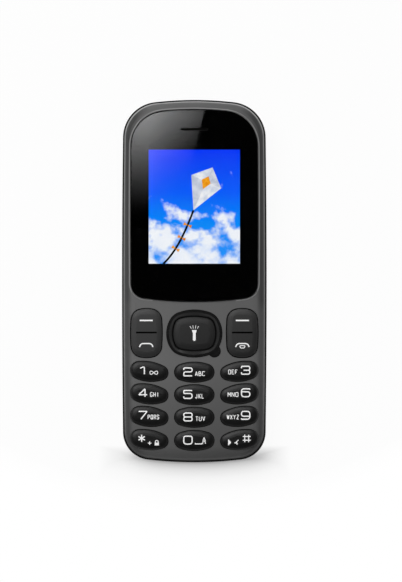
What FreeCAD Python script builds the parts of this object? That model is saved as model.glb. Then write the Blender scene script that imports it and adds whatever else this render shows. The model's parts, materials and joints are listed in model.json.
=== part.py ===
import FreeCAD, Part
import math
import os
import re

import Sketcher
from FreeCAD import Placement, Rotation, Vector

# A candy-bar mobile phone with a keypad, in millimetres.
# It lies on its back: +Z out of the screen, +Y towards the earpiece, +X to the right.
# The origin is the centre of the flat back, on the surface that the phone lies on.

DRIVING_SIZES = {
    # Case
    "case_width": 44.6,
    "case_length": 111.6,
    "case_face": 14.45,
    "top_crown": 105,
    "bottom_crown": 122,
    "top_corner": 10.8,
    "bottom_corner": 8.4,
    "side_bow": 0.3,
    "corner_tuck": 0.6,
    "widest_drop": 1.15,
    "widest_height": 0.45,
    "back_edge_side": 7.6,
    "back_edge_top": 16.4,
    "back_edge_bottom": 14.2,
    "front_edge_side": 3.8,
    "front_edge_top": 3.8,
    "front_edge_bottom": 4.4,
    # Seams and walls
    "band_proud": 0.4,
    "front_seam_depth": 3.85,
    "band_height": 2.2,
    "back_seam_dip": 3.7,
    "back_seam_run": 15.5,
    "cover_wall": 1.3,
    "cover_plate": 1.6,
    "back_wall": 1.2,
    "band_wall": 1.2,
    "skirt_wall": 0.95,
    "skirt_gap": 0.15,
    "skirt_root": 0.2,
    "lip_gap": 0.1,
    "lip_wall": 0.6,
    "lip_depth": 0.9,
    "lip_root": 0.7,
    "floor_drop": 0.8,
    "floor_thick": 0.8,
    "part_room": 0.4,
    "well_clear": 0.2,
    # Lens and display
    "lens_side_inset": 2.7,
    "lens_top_inset": 3.15,
    "lens_rocker_gap": 1.995,
    "lens_top_corner": 11.0,
    "lens_bottom_corner": 4.6,
    "lens_top_crown": 100,
    "lens_bottom_crown": 119,
    "lens_bow": 0.1,
    "lens_thick": 1.0,
    "lens_proud": 0.35,
    "lens_gap": 0.12,
    "lens_edge_round": 0.25,
    "rebate_bevel": 0.4,
    "rebate_bevel_drop": 0.3,
    "gasket_thick": 0.15,
    "picture_side_margin": 5.6,
    "picture_top_margin": 12.3,
    "picture_bottom_margin": 11.65,
    "picture_margin": 0.3,
    "window_side_margin": 1.25,
    "window_end_margin": 1.5,
    "panel_side_border": 2.5,
    "panel_end_border": 3.9,
    "panel_corner": 0.4,
    "panel_thick": 1.4,
    "panel_gap": 0.1,
    "tray_rim": 0.45,
    "tray_corner": 1.0,
    "tray_seat_corner": 0.5,
    "tray_floor": 0.95,
    "tray_wall_drop": 0.3,
    "flex_width": 15.0,
    "flex_thick": 0.2,
    "flex_foot": 2.6,
    "flex_gap": 0.1,
    # Earpiece
    "earpiece_drop": 6.15,
    "slot_length": 8.4,
    "slot_width": 0.8,
    "mesh_border": 0.7,
    "mesh_thick": 0.15,
    "receiver_offset": 1.25,
    "receiver_length": 13.0,
    "receiver_width": 5.6,
    "receiver_thick": 2.4,
    "receiver_corner": 2.2,
    "receiver_rim": 1.0,
    "diaphragm_corner": 1.5,
    "diaphragm_depth": 0.4,
    # Keys
    "key_proud": 0.35,
    "key_depth": 2.45,
    "key_gap": 0.12,
    "key_travel": 0.3,
    "key_dome": 0.62,
    "key_last_rise": 7.2,
    "key_pitch": 6.9,
    "key_last_drop": 0.2,
    "key_middle_drop": 0.2,
    "key_column_gap": 1.9,
    "middle_key_width": 12.2,
    "key_height": 6.3,
    "key_end_round": 2.55,
    "outer_key_blunt": 2.75,
    "outer_key_narrow": 2.25,
    "outer_key_skew": 0.85,
    "tab_reach": 0.6,
    "tab_width": 3.2,
    "tab_thick": 0.5,
    "rocker_gap": 1.25,
    "rocker_lift": 0.13,
    "rocker_length": 15.25,
    "rocker_flat": 1.4,
    "rocker_bow": 0.15,
    "groove_length": 6.3,
    "groove_width": 0.5,
    "groove_depth": 0.3,
    "groove_lift": 0.17,
    "rocker_tab_reach": 0.3,
    # Navigation ring
    "nav_key_gap": 1.45,
    "nav_width": 17.0,
    "nav_height": 14.5,
    "nav_corner": 4.6,
    "nav_bow": 0.6,
    "nav_tail_x": 6.15,
    "nav_tail_y": -5.4,
    "nav_tail_round": 1.85,
    "nav_tail_drop": 0.15,
    "nav_bead": 0.75,
    "nav_bead_drop": 0.1,
    "nav_slope_drop": 0.75,
    "nav_flange": 0.4,
    "nav_flange_thick": 0.3,
    "nav_rise": 0.2,
    "centre_width": 12.9,
    "centre_height": 10.2,
    "centre_corner": 2.7,
    "centre_bow": 0.38,
    "centre_gap": 0.12,
    "centre_drop": 0.25,
    "centre_flange": 0.45,
    "centre_flange_thick": 0.2,
    "spring_drop": 0.3,
    "spring_thick": 0.25,
    "spring_clear": 0.9,
    # Keypad mat and domes
    "travel_spare": 0.05,
    "mat_thick": 0.6,
    "mat_inset": 2.3,
    "mat_lens_gap": 0.7,
    "nav_recess": 0.25,
    "nav_recess_margin": 1.2,
    "pip_radius": 1.1,
    "pip_gap": 0.05,
    "dome_radius": 2.0,
    "dome_crown": 0.9,
    "dome_height": 0.3,
    "nav_dome_x": 7.2,
    "nav_dome_y": 6.0,
    "rocker_dome": 5.2,
    # Main board and what it carries
    "board_depth": 5.85,
    "board_thick": 1.0,
    "board_inset": 2.9,
    "board_clear": 0.3,
    "post_radius": 1.4,
    "post_side_inset": 5.1,
    "post_key_rise": 1.7,
    "can_gap": 0.1,
    "can_wall": 0.15,
    "can_corner": 0.6,
    "can_spacing": 4.0,
    "radio_can_length": 15.0,
    "radio_can_drop": 0.35,
    "processor_can_overlap": 1.35,
    "can_width": 26.0,
    "sim_width": 15.4,
    "sim_length": 15.0,
    "sim_x": 8.2,
    "sim_camera_gap": 2.9,
    "sim_contact_gap": 0.4,
    "sim_height": 1.9,
    "sim_wall": 0.2,
    "sim_sight_side": 2.5,
    "sim_sight_end": 3.0,
    "card_slot_thick": 0.9,
    # Battery
    "battery_side_inset": 5.3,
    "battery_motor_gap": 2.0,
    "battery_roof": 0.35,
    "battery_bottom": 1.65,
    "battery_corner": 1.5,
    "battery_edge": 1.2,
    "battery_gap": 0.35,
    "well_wall": 0.9,
    "well_depth": 3.6,
    "gate_clear": 0.5,
    "contact_block_width": 12.0,
    "contact_block_length": 2.6,
    "contact_block_height": 4.9,
    "contact_block_gap": 1.6,
    "contact_width": 1.4,
    "contact_pitch": 3.4,
    "contact_thick": 0.8,
    "contact_reach": 1.4,
    "contact_height": 4.6,
    # Back cover fittings
    "camera_x": -9.5,
    "rear_row_inset": 14.3,
    "camera_width": 8.0,
    "camera_block_height": 3.6,
    "camera_barrel": 2.6,
    "camera_barrel_bottom": 1.9,
    "camera_bore": 1.0,
    "camera_bore_depth": 1.0,
    "camera_window_radius": 3.6,
    "window_step": 0.5,
    "camera_window_thick": 0.7,
    "rear_window_sink": 0.15,
    "rear_window_clear": 0.05,
    "seat_wall": 0.8,
    "seat_rise": 0.4,
    "torch_x": -1.0,
    "torch_width": 3.4,
    "torch_bottom": 3.0,
    "torch_chip_drop": 0.6,
    "torch_chip_rim": 0.5,
    "torch_lens_radius": 1.9,
    "speaker_x": 8.9,
    "speaker_lift": 0.3,
    "speaker_width": 13.6,
    "speaker_length": 10.4,
    "speaker_corner": 2.5,
    "speaker_bottom": 3.2,
    "speaker_thick": 3.8,
    "speaker_foot": 1.1,
    "speaker_foot_inset": 2.5,
    "speaker_foot_clear": 0.2,
    "speaker_rim": 1.5,
    "cone_corner": 1.5,
    "cone_depth": 0.7,
    "grille_slots": 5,
    "grille_pitch": 1.7,
    "grille_slot_length": 8.0,
    "grille_slot_width": 0.8,
    "grille_mesh_width": 10.0,
    "grille_mesh_length": 7.4,
    "grille_mesh_thick": 0.15,
    "grille_mesh_gap": 0.02,
    "chamber_wall": 0.8,
    "chamber_inset": 0.5,
    "chamber_gap": 0.3,
    # Ends
    "usb_x": -5.5,
    "usb_drop": 2.3,
    "usb_width": 7.0,
    "usb_height": 2.9,
    "usb_length": 5.0,
    "usb_wall": 0.25,
    "usb_corner": 0.9,
    "usb_inset": 6.9,
    "usb_clear": 0.3,
    "usb_sink": 0.3,
    "usb_opening_width": 7.8,
    "usb_opening_height": 3.5,
    "usb_leg": 0.9,
    "usb_leg_pitch": 2.0,
    "tongue_width": 4.4,
    "tongue_thick": 0.7,
    "tongue_back": 1.4,
    "tongue_lift": 0.25,
    "jack_x": 3.5,
    "jack_drop": 2.55,
    "jack_bore": 1.8,
    "jack_nose": 2.1,
    "jack_width": 5.4,
    "jack_inset": 5.2,
    "jack_length": 11.0,
    "jack_end_wall": 1.0,
    "jack_sink": 0.3,
    "jack_relief": 0.15,
    "jack_rim_gap": 0.1,
    "mic_x": 10.0,
    "mic_radius": 1.5,
    "mic_length": 1.5,
    "mic_hole": 0.7,
    "boot_wall": 0.4,
    "boot_inset": 3.0,
    "boot_clear": 0.05,
    "boot_room_length": 4.0,
    "boot_lead": 1.2,
    "mic_stand": 0.2,
    "mic_clear": 0.9,
    "mic_back_clear": 0.3,
    "motor_side_inset": 8.4,
    "motor_drop": 2.3,
    "motor_radius": 2.0,
    "motor_length": 6.5,
    "motor_inset": 9.3,
    "saddle_inset": 0.5,
    "motor_shaft": 0.4,
    "shaft_reach": 3.6,
    "shaft_clear": 0.03,
    "weight_length": 2.8,
    "weight_radius": 1.8,
    "weight_gap": 0.4,
    "hub_wall": 0.5,
    "aerial_width": 20.0,
    "aerial_length": 3.2,
    "aerial_inset": 6.5,
    "aerial_bottom": 5.7,
    # Screws
    "screw_tray_gap": 0.15,
    "screw_top_inset": 11.8,
    "screw_low_rise": 3.3,
    "screw_radius": 0.7,
    "screw_head_radius": 1.3,
    "screw_head": 0.9,
    "screw_length": 5.2,
    "screw_recess": 0.55,
    "screw_cross_length": 1.44,
    "screw_cross_width": 0.35,
    "screw_clear": 0.1,
    "screw_head_clear": 0.15,
    "screw_tip_gap": 0.2,
    "screw_grip": 0.02,
    "boss_radius": 1.3,
    "boss_gap": 0.1,
}

# Sizes and places that follow from the driving sizes
DERIVED_SIZES = {
    "top_end": "case_length / 2",
    "bottom_end": "-case_length / 2",
    "front_seam": "case_face - front_seam_depth",
    "back_seam_side": "front_seam - band_height",
    "back_seam_end": "back_seam_side - back_seam_dip",
    "widest_high": "front_seam - widest_drop",
    "widest_low": "widest_high - widest_height",
    # Keys, from the bottom end up
    "key_row_last": "bottom_end + key_last_rise",
    "key_row_first": "key_row_last + key_last_drop + 3 * key_pitch",
    "nav_y": "key_row_first - key_middle_drop + key_height / 2 + nav_key_gap + nav_height / 2",
    "rocker_y": "nav_y + rocker_lift",
    "outer_key_width": "lens_half - middle_key_width / 2 - key_column_gap",
    "key_column": "lens_half - outer_key_width / 2",
    "rocker_width": "lens_half - nav_width / 2 - rocker_gap",
    "rocker_x": "lens_half - rocker_width / 2",
    "rocker_corner": "rocker_width / 2 - rocker_flat",
    "key_top": "case_face + key_proud",
    "key_bottom": "case_face - key_depth",
    "nav_bottom": "key_bottom + nav_rise",
    "centre_bottom": "key_bottom - centre_drop",
    "spring_bottom": "key_bottom - spring_drop",
    # The lens takes the length that the keys leave
    "lens_half": "case_width / 2 - lens_side_inset",
    "lens_top": "top_end - lens_top_inset",
    "lens_bottom": "rocker_y + rocker_length / 2 + lens_rocker_gap",
    "picture_width": "2 * lens_half - 2 * picture_side_margin",
    "picture_length": "picture_high - picture_low",
    "picture_y": "(picture_high + picture_low) / 2",
    "picture_high": "lens_top - picture_top_margin",
    "picture_low": "lens_bottom + picture_bottom_margin",
    "window_width": "picture_width + 2 * window_side_margin",
    "window_length": "picture_length + 2 * window_end_margin",
    "panel_width": "picture_width + 2 * panel_side_border",
    "panel_length": "picture_length + 2 * panel_end_border",
    "earpiece_y": "lens_top - earpiece_drop",
    "receiver_y": "earpiece_y + receiver_offset",
    "mat_top_edge": "lens_bottom - mat_lens_gap",
    # The board hangs below the face, and the floor below the board
    "board_bottom": "case_face - board_depth",
    "floor_bottom": "board_bottom - floor_drop - floor_thick",
    "post_x": "case_width / 2 - post_side_inset",
    "post_y": "key_row_first + post_key_rise",
    "radio_can_low": "picture_high - radio_can_drop - radio_can_length",
    "processor_can_low": "picture_low - processor_can_overlap",
    "processor_can_length": "radio_can_low - can_spacing - processor_can_low",
    "radio_can_y": "radio_can_low + radio_can_length / 2",
    "processor_can_y": "processor_can_low + processor_can_length / 2",
    "screw_x": "panel_width / 2 + panel_gap + tray_rim + screw_tray_gap + boss_radius",
    "screw_top_y": "top_end - screw_top_inset",
    "screw_low_y": "lens_bottom + screw_low_rise",
    # The back, from the top end down and from the bottom end up
    "rear_row_y": "top_end - rear_row_inset",
    "speaker_y": "rear_row_y + speaker_lift",
    "aerial_y": "top_end - aerial_inset",
    "sim_y": "rear_row_y - camera_width / 2 - sim_camera_gap - sim_length / 2",
    "contact_front": "sim_y - sim_length / 2 - sim_contact_gap - contact_block_length",
    "battery_high": "contact_front - contact_block_gap",
    "battery_low": "motor_front + motor_length + battery_motor_gap",
    "battery_width": "case_width - 2 * battery_side_inset",
    "battery_length": "battery_high - battery_low",
    "battery_y": "(battery_high + battery_low) / 2",
    "battery_thick": "floor_bottom - battery_roof - battery_bottom",
    "well_end": "battery_high + battery_gap + well_wall",
    "usb_back": "bottom_end + usb_inset",
    "usb_z": "board_bottom - usb_drop",
    "jack_front": "bottom_end + jack_inset",
    "jack_z": "board_bottom - jack_drop",
    "boot_front": "bottom_end + boot_inset",
    "mic_z": "board_bottom",
    "motor_x": "case_width / 2 - motor_side_inset",
    "motor_front": "bottom_end + motor_inset",
    "motor_z": "board_bottom - motor_drop",
    # Levels in the stack, and insets of the nested walls
    "plate_under": "case_face - cover_plate",
    "lens_under": "case_face + lens_proud - lens_thick",
    "ledge_top": "lens_under - gasket_thick",
    "board_top": "board_bottom + board_thick",
    "floor_top": "floor_bottom + floor_thick",
    "dome_top": "board_top + dome_height",
    "mat_top": "key_bottom - key_travel - travel_spare",
    "mat_bottom": "mat_top - mat_thick",
    "panel_top": "plate_under - panel_gap",
    "tray_bottom": "panel_top - panel_thick - tray_floor",
    "lip_out": "band_wall + lip_gap",
    "skirt_out": "back_wall + skirt_gap",
    "skirt_in": "skirt_out + skirt_wall",
}

KEY_SIDES = {"left": -1, "middle": 0, "right": 1}
LAST_ROW = 3
# Radii of a number key's upper and lower side, and of a two-way key's ends and sides, in their lengths
OUTER_KEY_ARCS = (2.2, 1.9)
# A key's domed top: how far each outline is drawn in, and how much of the dome it lies below the top
DOME_STEPS = ((0, 1.0), (-0.12, 0.74), (-0.35, 0.5), (-0.75, 0.27), (-1.3, 0.09), (-1.85, 0))
# How far a cutting tool runs past a face, its height where it goes right through, and its reach
# from outside an end of the case
PAST = 1
THROUGH = 5
OUTSIDE = 12
# How deep two solids that become one sink into each other
SINK = 0.1
FAR = 80

document = FreeCAD.newDocument("mobile_phone")
sheet = document.addObject("Spreadsheet::Sheet", "Sizes")
for row, (alias, value) in enumerate(DRIVING_SIZES.items(), start=1):
    sheet.set(f"A{row}", alias)
    sheet.set(f"B{row}", str(value))
    sheet.setAlias(f"B{row}", alias)
document.recompute()

sub_parts = []


def spelled_out(expression):
    """An expression with each derived size replaced by what it follows from."""
    def stands_for(word):
        name = word[0]
        return f"({spelled_out(DERIVED_SIZES[name])})" if name in DERIVED_SIZES else name

    return re.sub(r"[a-z_]+[a-z]", stands_for, str(expression))


def mm(expression):
    """The value of an expression of sizes, in millimetres."""
    return float(sheet.evalExpression(spelled_out(expression)))


def bind(feature, path, expression):
    """Ties one property of a feature to the sheet."""
    feature.setExpression(path, re.sub(r"[a-z_]+[a-z]", r"Sizes.\g<0>", spelled_out(expression)))


def keep(feature, label):
    """Names a finished sub-part and puts it on the list to be written."""
    feature.Label = label
    sub_parts.append(feature)
    return feature


# Plain solids and booleans

def box(name, low, size):
    """A box by its low corner and its size along X, Y and Z."""
    solid = document.addObject("Part::Box", name)
    for axis, start in zip("xyz", low):
        bind(solid, f"Placement.Base.{axis}", start)
    for side, length in zip(("Length", "Width", "Height"), size):
        bind(solid, side, length)
    return solid


def centred_box(name, centre, size, bottom, height):
    """A box centred at a place in plan, from a given height up."""
    low = [f"({place}) - ({length}) / 2" for place, length in zip(centre, size)]
    return box(name, (*low, bottom), (*size, height))


def cylinder(name, base, radius, height):
    """An upright cylinder."""
    solid = document.addObject("Part::Cylinder", name)
    for axis, start in zip("xyz", base):
        bind(solid, f"Placement.Base.{axis}", start)
    bind(solid, "Radius", radius)
    bind(solid, "Height", height)
    return solid


def lying_cylinder(name, base, radius, length):
    """A cylinder along +Y from its base."""
    solid = cylinder(name, base, radius, length)
    solid.Placement = Placement(solid.Placement.Base, Rotation(Vector(1, 0, 0), -90))
    for axis, start in zip("xyz", base):
        bind(solid, f"Placement.Base.{axis}", start)
    return solid


def fuse(name, *solids):
    joined = document.addObject("Part::MultiFuse", name)
    joined.Shapes = list(solids)
    joined.Refine = True
    return joined


def common(name, *solids):
    shared = document.addObject("Part::MultiCommon", name)
    shared.Shapes = list(solids)
    return shared


def cut(name, base, *tools):
    result = document.addObject("Part::Cut", name)
    result.Base = base
    result.Tool = tools[0] if len(tools) == 1 else group(f"{name}_tools", tools)
    return result


def group(name, solids):
    """Separate solids kept together in one object."""
    gathered = document.addObject("Part::Compound", name)
    gathered.Links = list(solids)
    return gathered


# Sketched bodies

def new_sketch(body, name, role, offset):
    """A sketch on one of the body's own origin planes, moved within that plane's frame."""
    plane = next(item for item in body.Origin.OriginFeatures if item.Role == role)
    drawing = body.newObject("Sketcher::SketchObject", name)
    drawing.AttachmentSupport = (plane, "")
    drawing.MapMode = "FlatFace"
    for axis, distance in zip("xyz", offset):
        bind(drawing, f"AttachmentOffset.Base.{axis}", distance)
    return drawing


def draw_rounded_rectangle(drawing, width, length, corner):
    """A rectangle with equal round corners about the sketch's origin, sized by the sheet."""
    half_x, half_y, radius = mm(width) / 2, mm(length) / 2, mm(corner)
    in_x, in_y = half_x - radius, half_y - radius
    centres = [(in_x, in_y), (-in_x, in_y), (-in_x, -in_y), (in_x, -in_y)]
    ring = []
    for quarter, (x, y) in enumerate(centres):
        start = quarter * math.pi / 2
        circle = Part.Circle(Vector(x, y, 0), Vector(0, 0, 1), radius)
        ring.append(Part.ArcOfCircle(circle, start, start + math.pi / 2))
    lines = []
    for quarter in range(4):
        lines.append(Part.LineSegment(ring[quarter].EndPoint, ring[(quarter + 1) % 4].StartPoint))
    drawing.addGeometry(ring + lines, False)
    rules = []
    for quarter in range(4):
        rules.append(Sketcher.Constraint("Tangent", quarter, 2, 4 + quarter, 1))
        rules.append(Sketcher.Constraint("Tangent", 4 + quarter, 2, (quarter + 1) % 4, 1))
    rules.append(Sketcher.Constraint("Horizontal", 4))
    rules.append(Sketcher.Constraint("Vertical", 5))
    for quarter in range(1, 4):
        rules.append(Sketcher.Constraint("Equal", 0, quarter))
    rules.append(Sketcher.Constraint("Symmetric", 0, 3, 2, 3, -1, 1))
    drawing.addConstraint(rules)
    sizes = (
        ("corner", Sketcher.Constraint("Radius", 0, radius), corner),
        ("width", Sketcher.Constraint("DistanceX", 5, 1, 7, 1, 2 * half_x), width),
        ("length", Sketcher.Constraint("DistanceY", 6, 1, 4, 1, 2 * half_y), length),
    )
    for word, rule, expression in sizes:
        index = drawing.addConstraint(rule)
        drawing.renameConstraint(index, word)
        bind(drawing, f"Constraints.{word}", expression)


def draw_circle(drawing, radius):
    """A circle about the sketch's origin, sized by the sheet."""
    drawing.addGeometry(Part.Circle(Vector(0, 0, 0), Vector(0, 0, 1), mm(radius)), False)
    drawing.addConstraint(Sketcher.Constraint("Coincident", 0, 3, -1, 1))
    index = drawing.addConstraint(Sketcher.Constraint("Radius", 0, mm(radius)))
    drawing.renameConstraint(index, "radius")
    bind(drawing, "Constraints.radius", radius)


def pad(body, name, drawing, length):
    feature = body.newObject("PartDesign::Pad", name)
    feature.Profile = drawing
    bind(feature, "Length", length)
    drawing.Visibility = False
    return feature


def pocket(body, name, drawing, depth, upwards=False):
    """Cuts a sketch's outline down from its plane, or up where upwards is set."""
    document.recompute()
    before = body.Shape.Volume
    feature = body.newObject("PartDesign::Pocket", name)
    feature.Profile = drawing
    feature.Reversed = upwards
    bind(feature, "Length", depth)
    document.recompute()
    if body.Shape.Volume > before - 1e-6:
        raise ValueError(f"{name} cuts nothing")
    return feature


def slab(label, centre, size, corner, bottom, thick):
    """A body with one padded rounded rectangle."""
    body = document.addObject("PartDesign::Body", label)
    drawing = new_sketch(body, f"{label}_outline", "XY_Plane", (*centre, bottom))
    draw_rounded_rectangle(drawing, *size, corner)
    pad(body, f"{label}_pad", drawing, thick)
    return body


def slab_pocket(body, word, centre, size, corner, level, depth, upwards=False):
    """A rounded rectangular pocket in a slab."""
    drawing = new_sketch(body, f"{body.Name}_{word}", "XY_Plane", (*centre, level))
    draw_rounded_rectangle(drawing, *size, corner)
    return pocket(body, f"{body.Name}_{word}_cut", drawing, depth, upwards)


# Outlines of circles joined by wide arcs

def unit(vector):
    return vector * (1 / vector.Length)


def tangent_outline(circles, joins):
    """Closed outline, anticlockwise, through corner circles joined by wide tangent arcs.

    circles holds (x, y, radius); joins holds the radius of the arc from each circle to the next.
    """
    spans = []
    for index, (x, y, radius) in enumerate(circles):
        next_x, next_y, next_radius = circles[(index + 1) % len(circles)]
        first, second = Vector(x, y, 0), Vector(next_x, next_y, 0)
        apart = second - first
        along = unit(apart)
        wide = joins[index]
        spread = (wide - radius) ** 2 - (wide - next_radius) ** 2
        reach = (spread / apart.Length + apart.Length) / 2
        side = math.sqrt((wide - radius) ** 2 - reach ** 2)
        centre = first + along * reach + Vector(-along.y, along.x, 0) * side
        start = centre + unit(first - centre) * wide
        end = centre + unit(second - centre) * wide
        spans.append((start, centre + unit(start + end - centre * 2) * wide, end))
    edges = []
    for index, (start, middle, end) in enumerate(spans):
        following = (index + 1) % len(circles)
        x, y, radius = circles[following]
        corner = Vector(x, y, 0)
        leaving = spans[following][0]
        outwards = unit(unit(end - corner) + unit(leaving - corner))
        edges.append(Part.Arc(start, middle, end))
        edges.append(Part.Arc(end, corner + outwards * radius, leaving))
    return edges


def crowned_outline(half, top, bottom, top_corner, bottom_corner, top_crown, bottom_crown, bow):
    """Outline with crowned ends, round corners and slightly bowed sides, even about X."""
    half = half - bow
    top_x, bottom_x = half - top_corner, half - bottom_corner
    top_y = top - top_crown + math.sqrt((top_crown - top_corner) ** 2 - top_x ** 2)
    bottom_y = bottom + bottom_crown - math.sqrt((bottom_crown - bottom_corner) ** 2 - bottom_x ** 2)
    side = (top_y - bottom_y) ** 2 / (8 * bow)
    circles = [
        (top_x, top_y, top_corner),
        (-top_x, top_y, top_corner),
        (-bottom_x, bottom_y, bottom_corner),
        (bottom_x, bottom_y, bottom_corner),
    ]
    return tangent_outline(circles, [top_crown, side, bottom_crown, side])


def oval_outline(x, y, half_width, half_height, end_round):
    """An oval of two end circles joined by two wide arcs."""
    reach = half_width - end_round
    wide = (reach ** 2 + half_height ** 2 - end_round ** 2) / (2 * (half_height - end_round))
    return tangent_outline([(x + reach, y, end_round), (x - reach, y, end_round)], [wide, wide])


def bowed_outline(x, y, half_width, half_height, corner, bow):
    """A rounded rectangle whose four sides are bowed outwards by one amount."""
    reach_x, reach_y = half_width - corner - bow, half_height - corner - bow
    circles = [
        (x + across * reach_x, y + along * reach_y, corner)
        for across, along in ((1, 1), (-1, 1), (-1, -1), (1, -1))
    ]
    wide = [reach ** 2 / (2 * bow) + corner + bow / 2 for reach in (reach_x, reach_y)]
    return tangent_outline(circles, wide * 2)


def case_outline(side_in, top_in, bottom_in):
    """The case in plan, drawn in by a distance at the sides and at each end."""
    rounding = mm("corner_tuck") * side_in
    return crowned_outline(
        mm("case_width / 2 - band_proud") - side_in,
        mm("case_length / 2 - band_proud") - top_in,
        mm("-case_length / 2 + band_proud") + bottom_in,
        mm("top_corner") - rounding,
        mm("bottom_corner") - rounding,
        mm("top_crown"),
        mm("bottom_crown"),
        mm("side_bow"),
    )


def inset_outline(inset):
    """The case in plan, drawn in by the same distance all round."""
    depth = mm(inset)
    return case_outline(depth, depth, depth)


def lens_outline(grow):
    """The lens in plan, grown by a distance."""
    return crowned_outline(
        mm("lens_half") + grow,
        mm("lens_top") + grow,
        mm("lens_bottom") - grow,
        mm("lens_top_corner") + grow,
        mm("lens_bottom_corner") + grow,
        mm("lens_top_crown"),
        mm("lens_bottom_crown"),
        mm("lens_bow"),
    )


def drawn(name, edges, height):
    """A free sketch of an outline at a height."""
    drawing = document.addObject("Sketcher::SketchObject", name)
    drawing.addGeometry(edges, False)
    bind(drawing, "Placement.Base.z", height)
    return drawing


def prism(name, edges, bottom, height):
    """An outline drawn straight up from a height."""
    solid = document.addObject("Part::Extrusion", name)
    solid.Base = drawn(f"{name}_outline", edges, bottom)
    solid.DirMode = "Normal"
    solid.Solid = True
    bind(solid, "LengthFwd", height)
    return solid


def loft(name, sections, ruled=False):
    """A skin over outlines at their heights, from the lowest up."""
    solid = document.addObject("Part::Loft", name)
    solid.Sections = [
        drawn(f"{name}_{step}", edges, height) for step, (edges, height) in enumerate(sections)
    ]
    solid.Solid = True
    solid.Ruled = ruled
    return solid


# The case's form and its seams

BACK_TURNS = (90, 80, 68, 54, 38, 20, 0)
FRONT_TURNS = (0, 20, 38, 54, 68, 80, 90)


def case_form(name, inset):
    """The rounded form of the whole case, with all its faces moved inwards by an inset."""
    depth = mm(inset)
    low, high, face = mm("widest_low"), mm("widest_high"), mm("case_face")
    back = [mm(f"back_edge_{side}") - depth for side in ("side", "top", "bottom")]
    front = [mm(f"front_edge_{side}") - depth for side in ("side", "top", "bottom")]
    sections = []
    for turn in BACK_TURNS:
        drawn_in = 1 - math.cos(math.radians(turn))
        height = low - (low - depth) * math.sin(math.radians(turn))
        sections.append((case_outline(*[depth + reach * drawn_in for reach in back]), height))
    for turn in FRONT_TURNS:
        drawn_in = 1 - math.cos(math.radians(turn))
        height = high + (face - high - depth) * math.sin(math.radians(turn))
        sections.append((case_outline(*[depth + reach * drawn_in for reach in front]), height))
    return loft(name, sections)


def layer(name, bottom, top):
    """Everything between two heights."""
    return box(name, (-FAR, -FAR, bottom), (2 * FAR, 2 * FAR, f"({top}) - ({bottom})"))


def below_back_seam(name):
    """Everything below the seam that runs level along the sides and dips to both ends."""
    run, drop = mm("back_seam_run"), mm("back_seam_side - back_seam_end")
    radius = (run ** 2 + drop ** 2) / (2 * drop)
    end, level = mm("case_length / 2"), mm("back_seam_side")
    turn = end - run

    def on_curve(distance):
        return level - radius + math.sqrt(radius ** 2 - distance ** 2)

    beyond = run + PAST
    corners = [
        Vector(-turn - beyond, on_curve(beyond), 0),
        Vector(-turn, level, 0),
        Vector(turn, level, 0),
        Vector(turn + beyond, on_curve(beyond), 0),
    ]
    low_right, low_left = Vector(turn + beyond, -FAR, 0), Vector(-turn - beyond, -FAR, 0)
    edges = [
        Part.LineSegment(low_left, low_right),
        Part.LineSegment(low_right, corners[3]),
        Part.Arc(corners[3], Vector(turn + beyond / 2, on_curve(beyond / 2), 0), corners[2]),
        Part.LineSegment(corners[2], corners[1]),
        Part.Arc(corners[1], Vector(-turn - beyond / 2, on_curve(beyond / 2), 0), corners[0]),
        Part.LineSegment(corners[0], low_left),
    ]
    drawing = document.addObject("Sketcher::SketchObject", f"{name}_outline")
    drawing.addGeometry(edges, False)
    drawing.Placement = Placement(Vector(-FAR / 2, 0, 0), Rotation(Vector(1, 1, 1), 120))
    solid = document.addObject("Part::Extrusion", name)
    solid.Base = drawing
    solid.DirMode = "Normal"
    solid.LengthFwd = FAR
    solid.Solid = True
    return solid


# Key outlines

def row_height(row, side):
    """The Y of a key's centre: rows count from the top, the last row sits a little lower."""
    drop = f"key_row_first - {row} * key_pitch"
    if row == LAST_ROW:
        drop += " - key_last_drop"
    if side == "middle":
        drop += " - key_middle_drop"
    return drop


def key_outline(row, side, grow=0.0):
    """A number key in plan: an oval in the middle column, a skewed egg at the sides."""
    y = mm(row_height(row, side))
    half_height = mm("key_height / 2") + grow
    if side == "middle":
        half_width, end_round = mm("middle_key_width / 2") + grow, mm("key_end_round") + grow
        return oval_outline(0, y, half_width, half_height, end_round)
    sign = KEY_SIDES[side]
    x, half = mm("key_column"), mm("outer_key_width / 2")
    blunt, narrow, skew = mm("outer_key_blunt"), mm("outer_key_narrow"), mm("outer_key_skew")
    outer = (sign * (x + half - blunt), y + skew / 2, blunt + grow)
    inner = (sign * (x - half + narrow), y - skew / 2, narrow + grow)
    upper, lower = (mm("key_height") * share + grow for share in OUTER_KEY_ARCS)
    if sign > 0:
        return tangent_outline([outer, inner], [upper, lower])
    return tangent_outline([inner, outer], [upper, lower])


def rocker_outline(sign, grow=0.0):
    """A two-way key in plan: a rounded rectangle with faintly bowed sides."""
    return bowed_outline(
        sign * mm("rocker_x"), mm("rocker_y"), mm("rocker_width / 2") + grow, mm("rocker_length / 2") + grow,
        mm("rocker_corner") + grow, mm("rocker_bow"))


def nav_outline(grow=0.0):
    return bowed_outline(
        0, mm("nav_y"), mm("nav_width / 2") + grow, mm("nav_height / 2") + grow,
        mm("nav_corner") + grow, mm("nav_bow"))


def centre_outline(grow=0.0):
    return bowed_outline(
        0, mm("nav_y"), mm("centre_width / 2") + grow, mm("centre_height / 2") + grow,
        mm("centre_corner") + grow, mm("centre_bow"))


def pillow(name, outline, bottom):
    """A key cap: straight sides and a softly domed top made of drawn-in outlines."""
    dome, top = mm("key_dome"), mm("key_top")
    sides = prism(f"{name}_sides", outline(0.0), bottom, f"key_top - key_dome - ({bottom})")
    crown = loft(f"{name}_crown", [(outline(grow), top - dome * fall) for grow, fall in DOME_STEPS])
    return fuse(f"{name}_cap", sides, crown)


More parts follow.
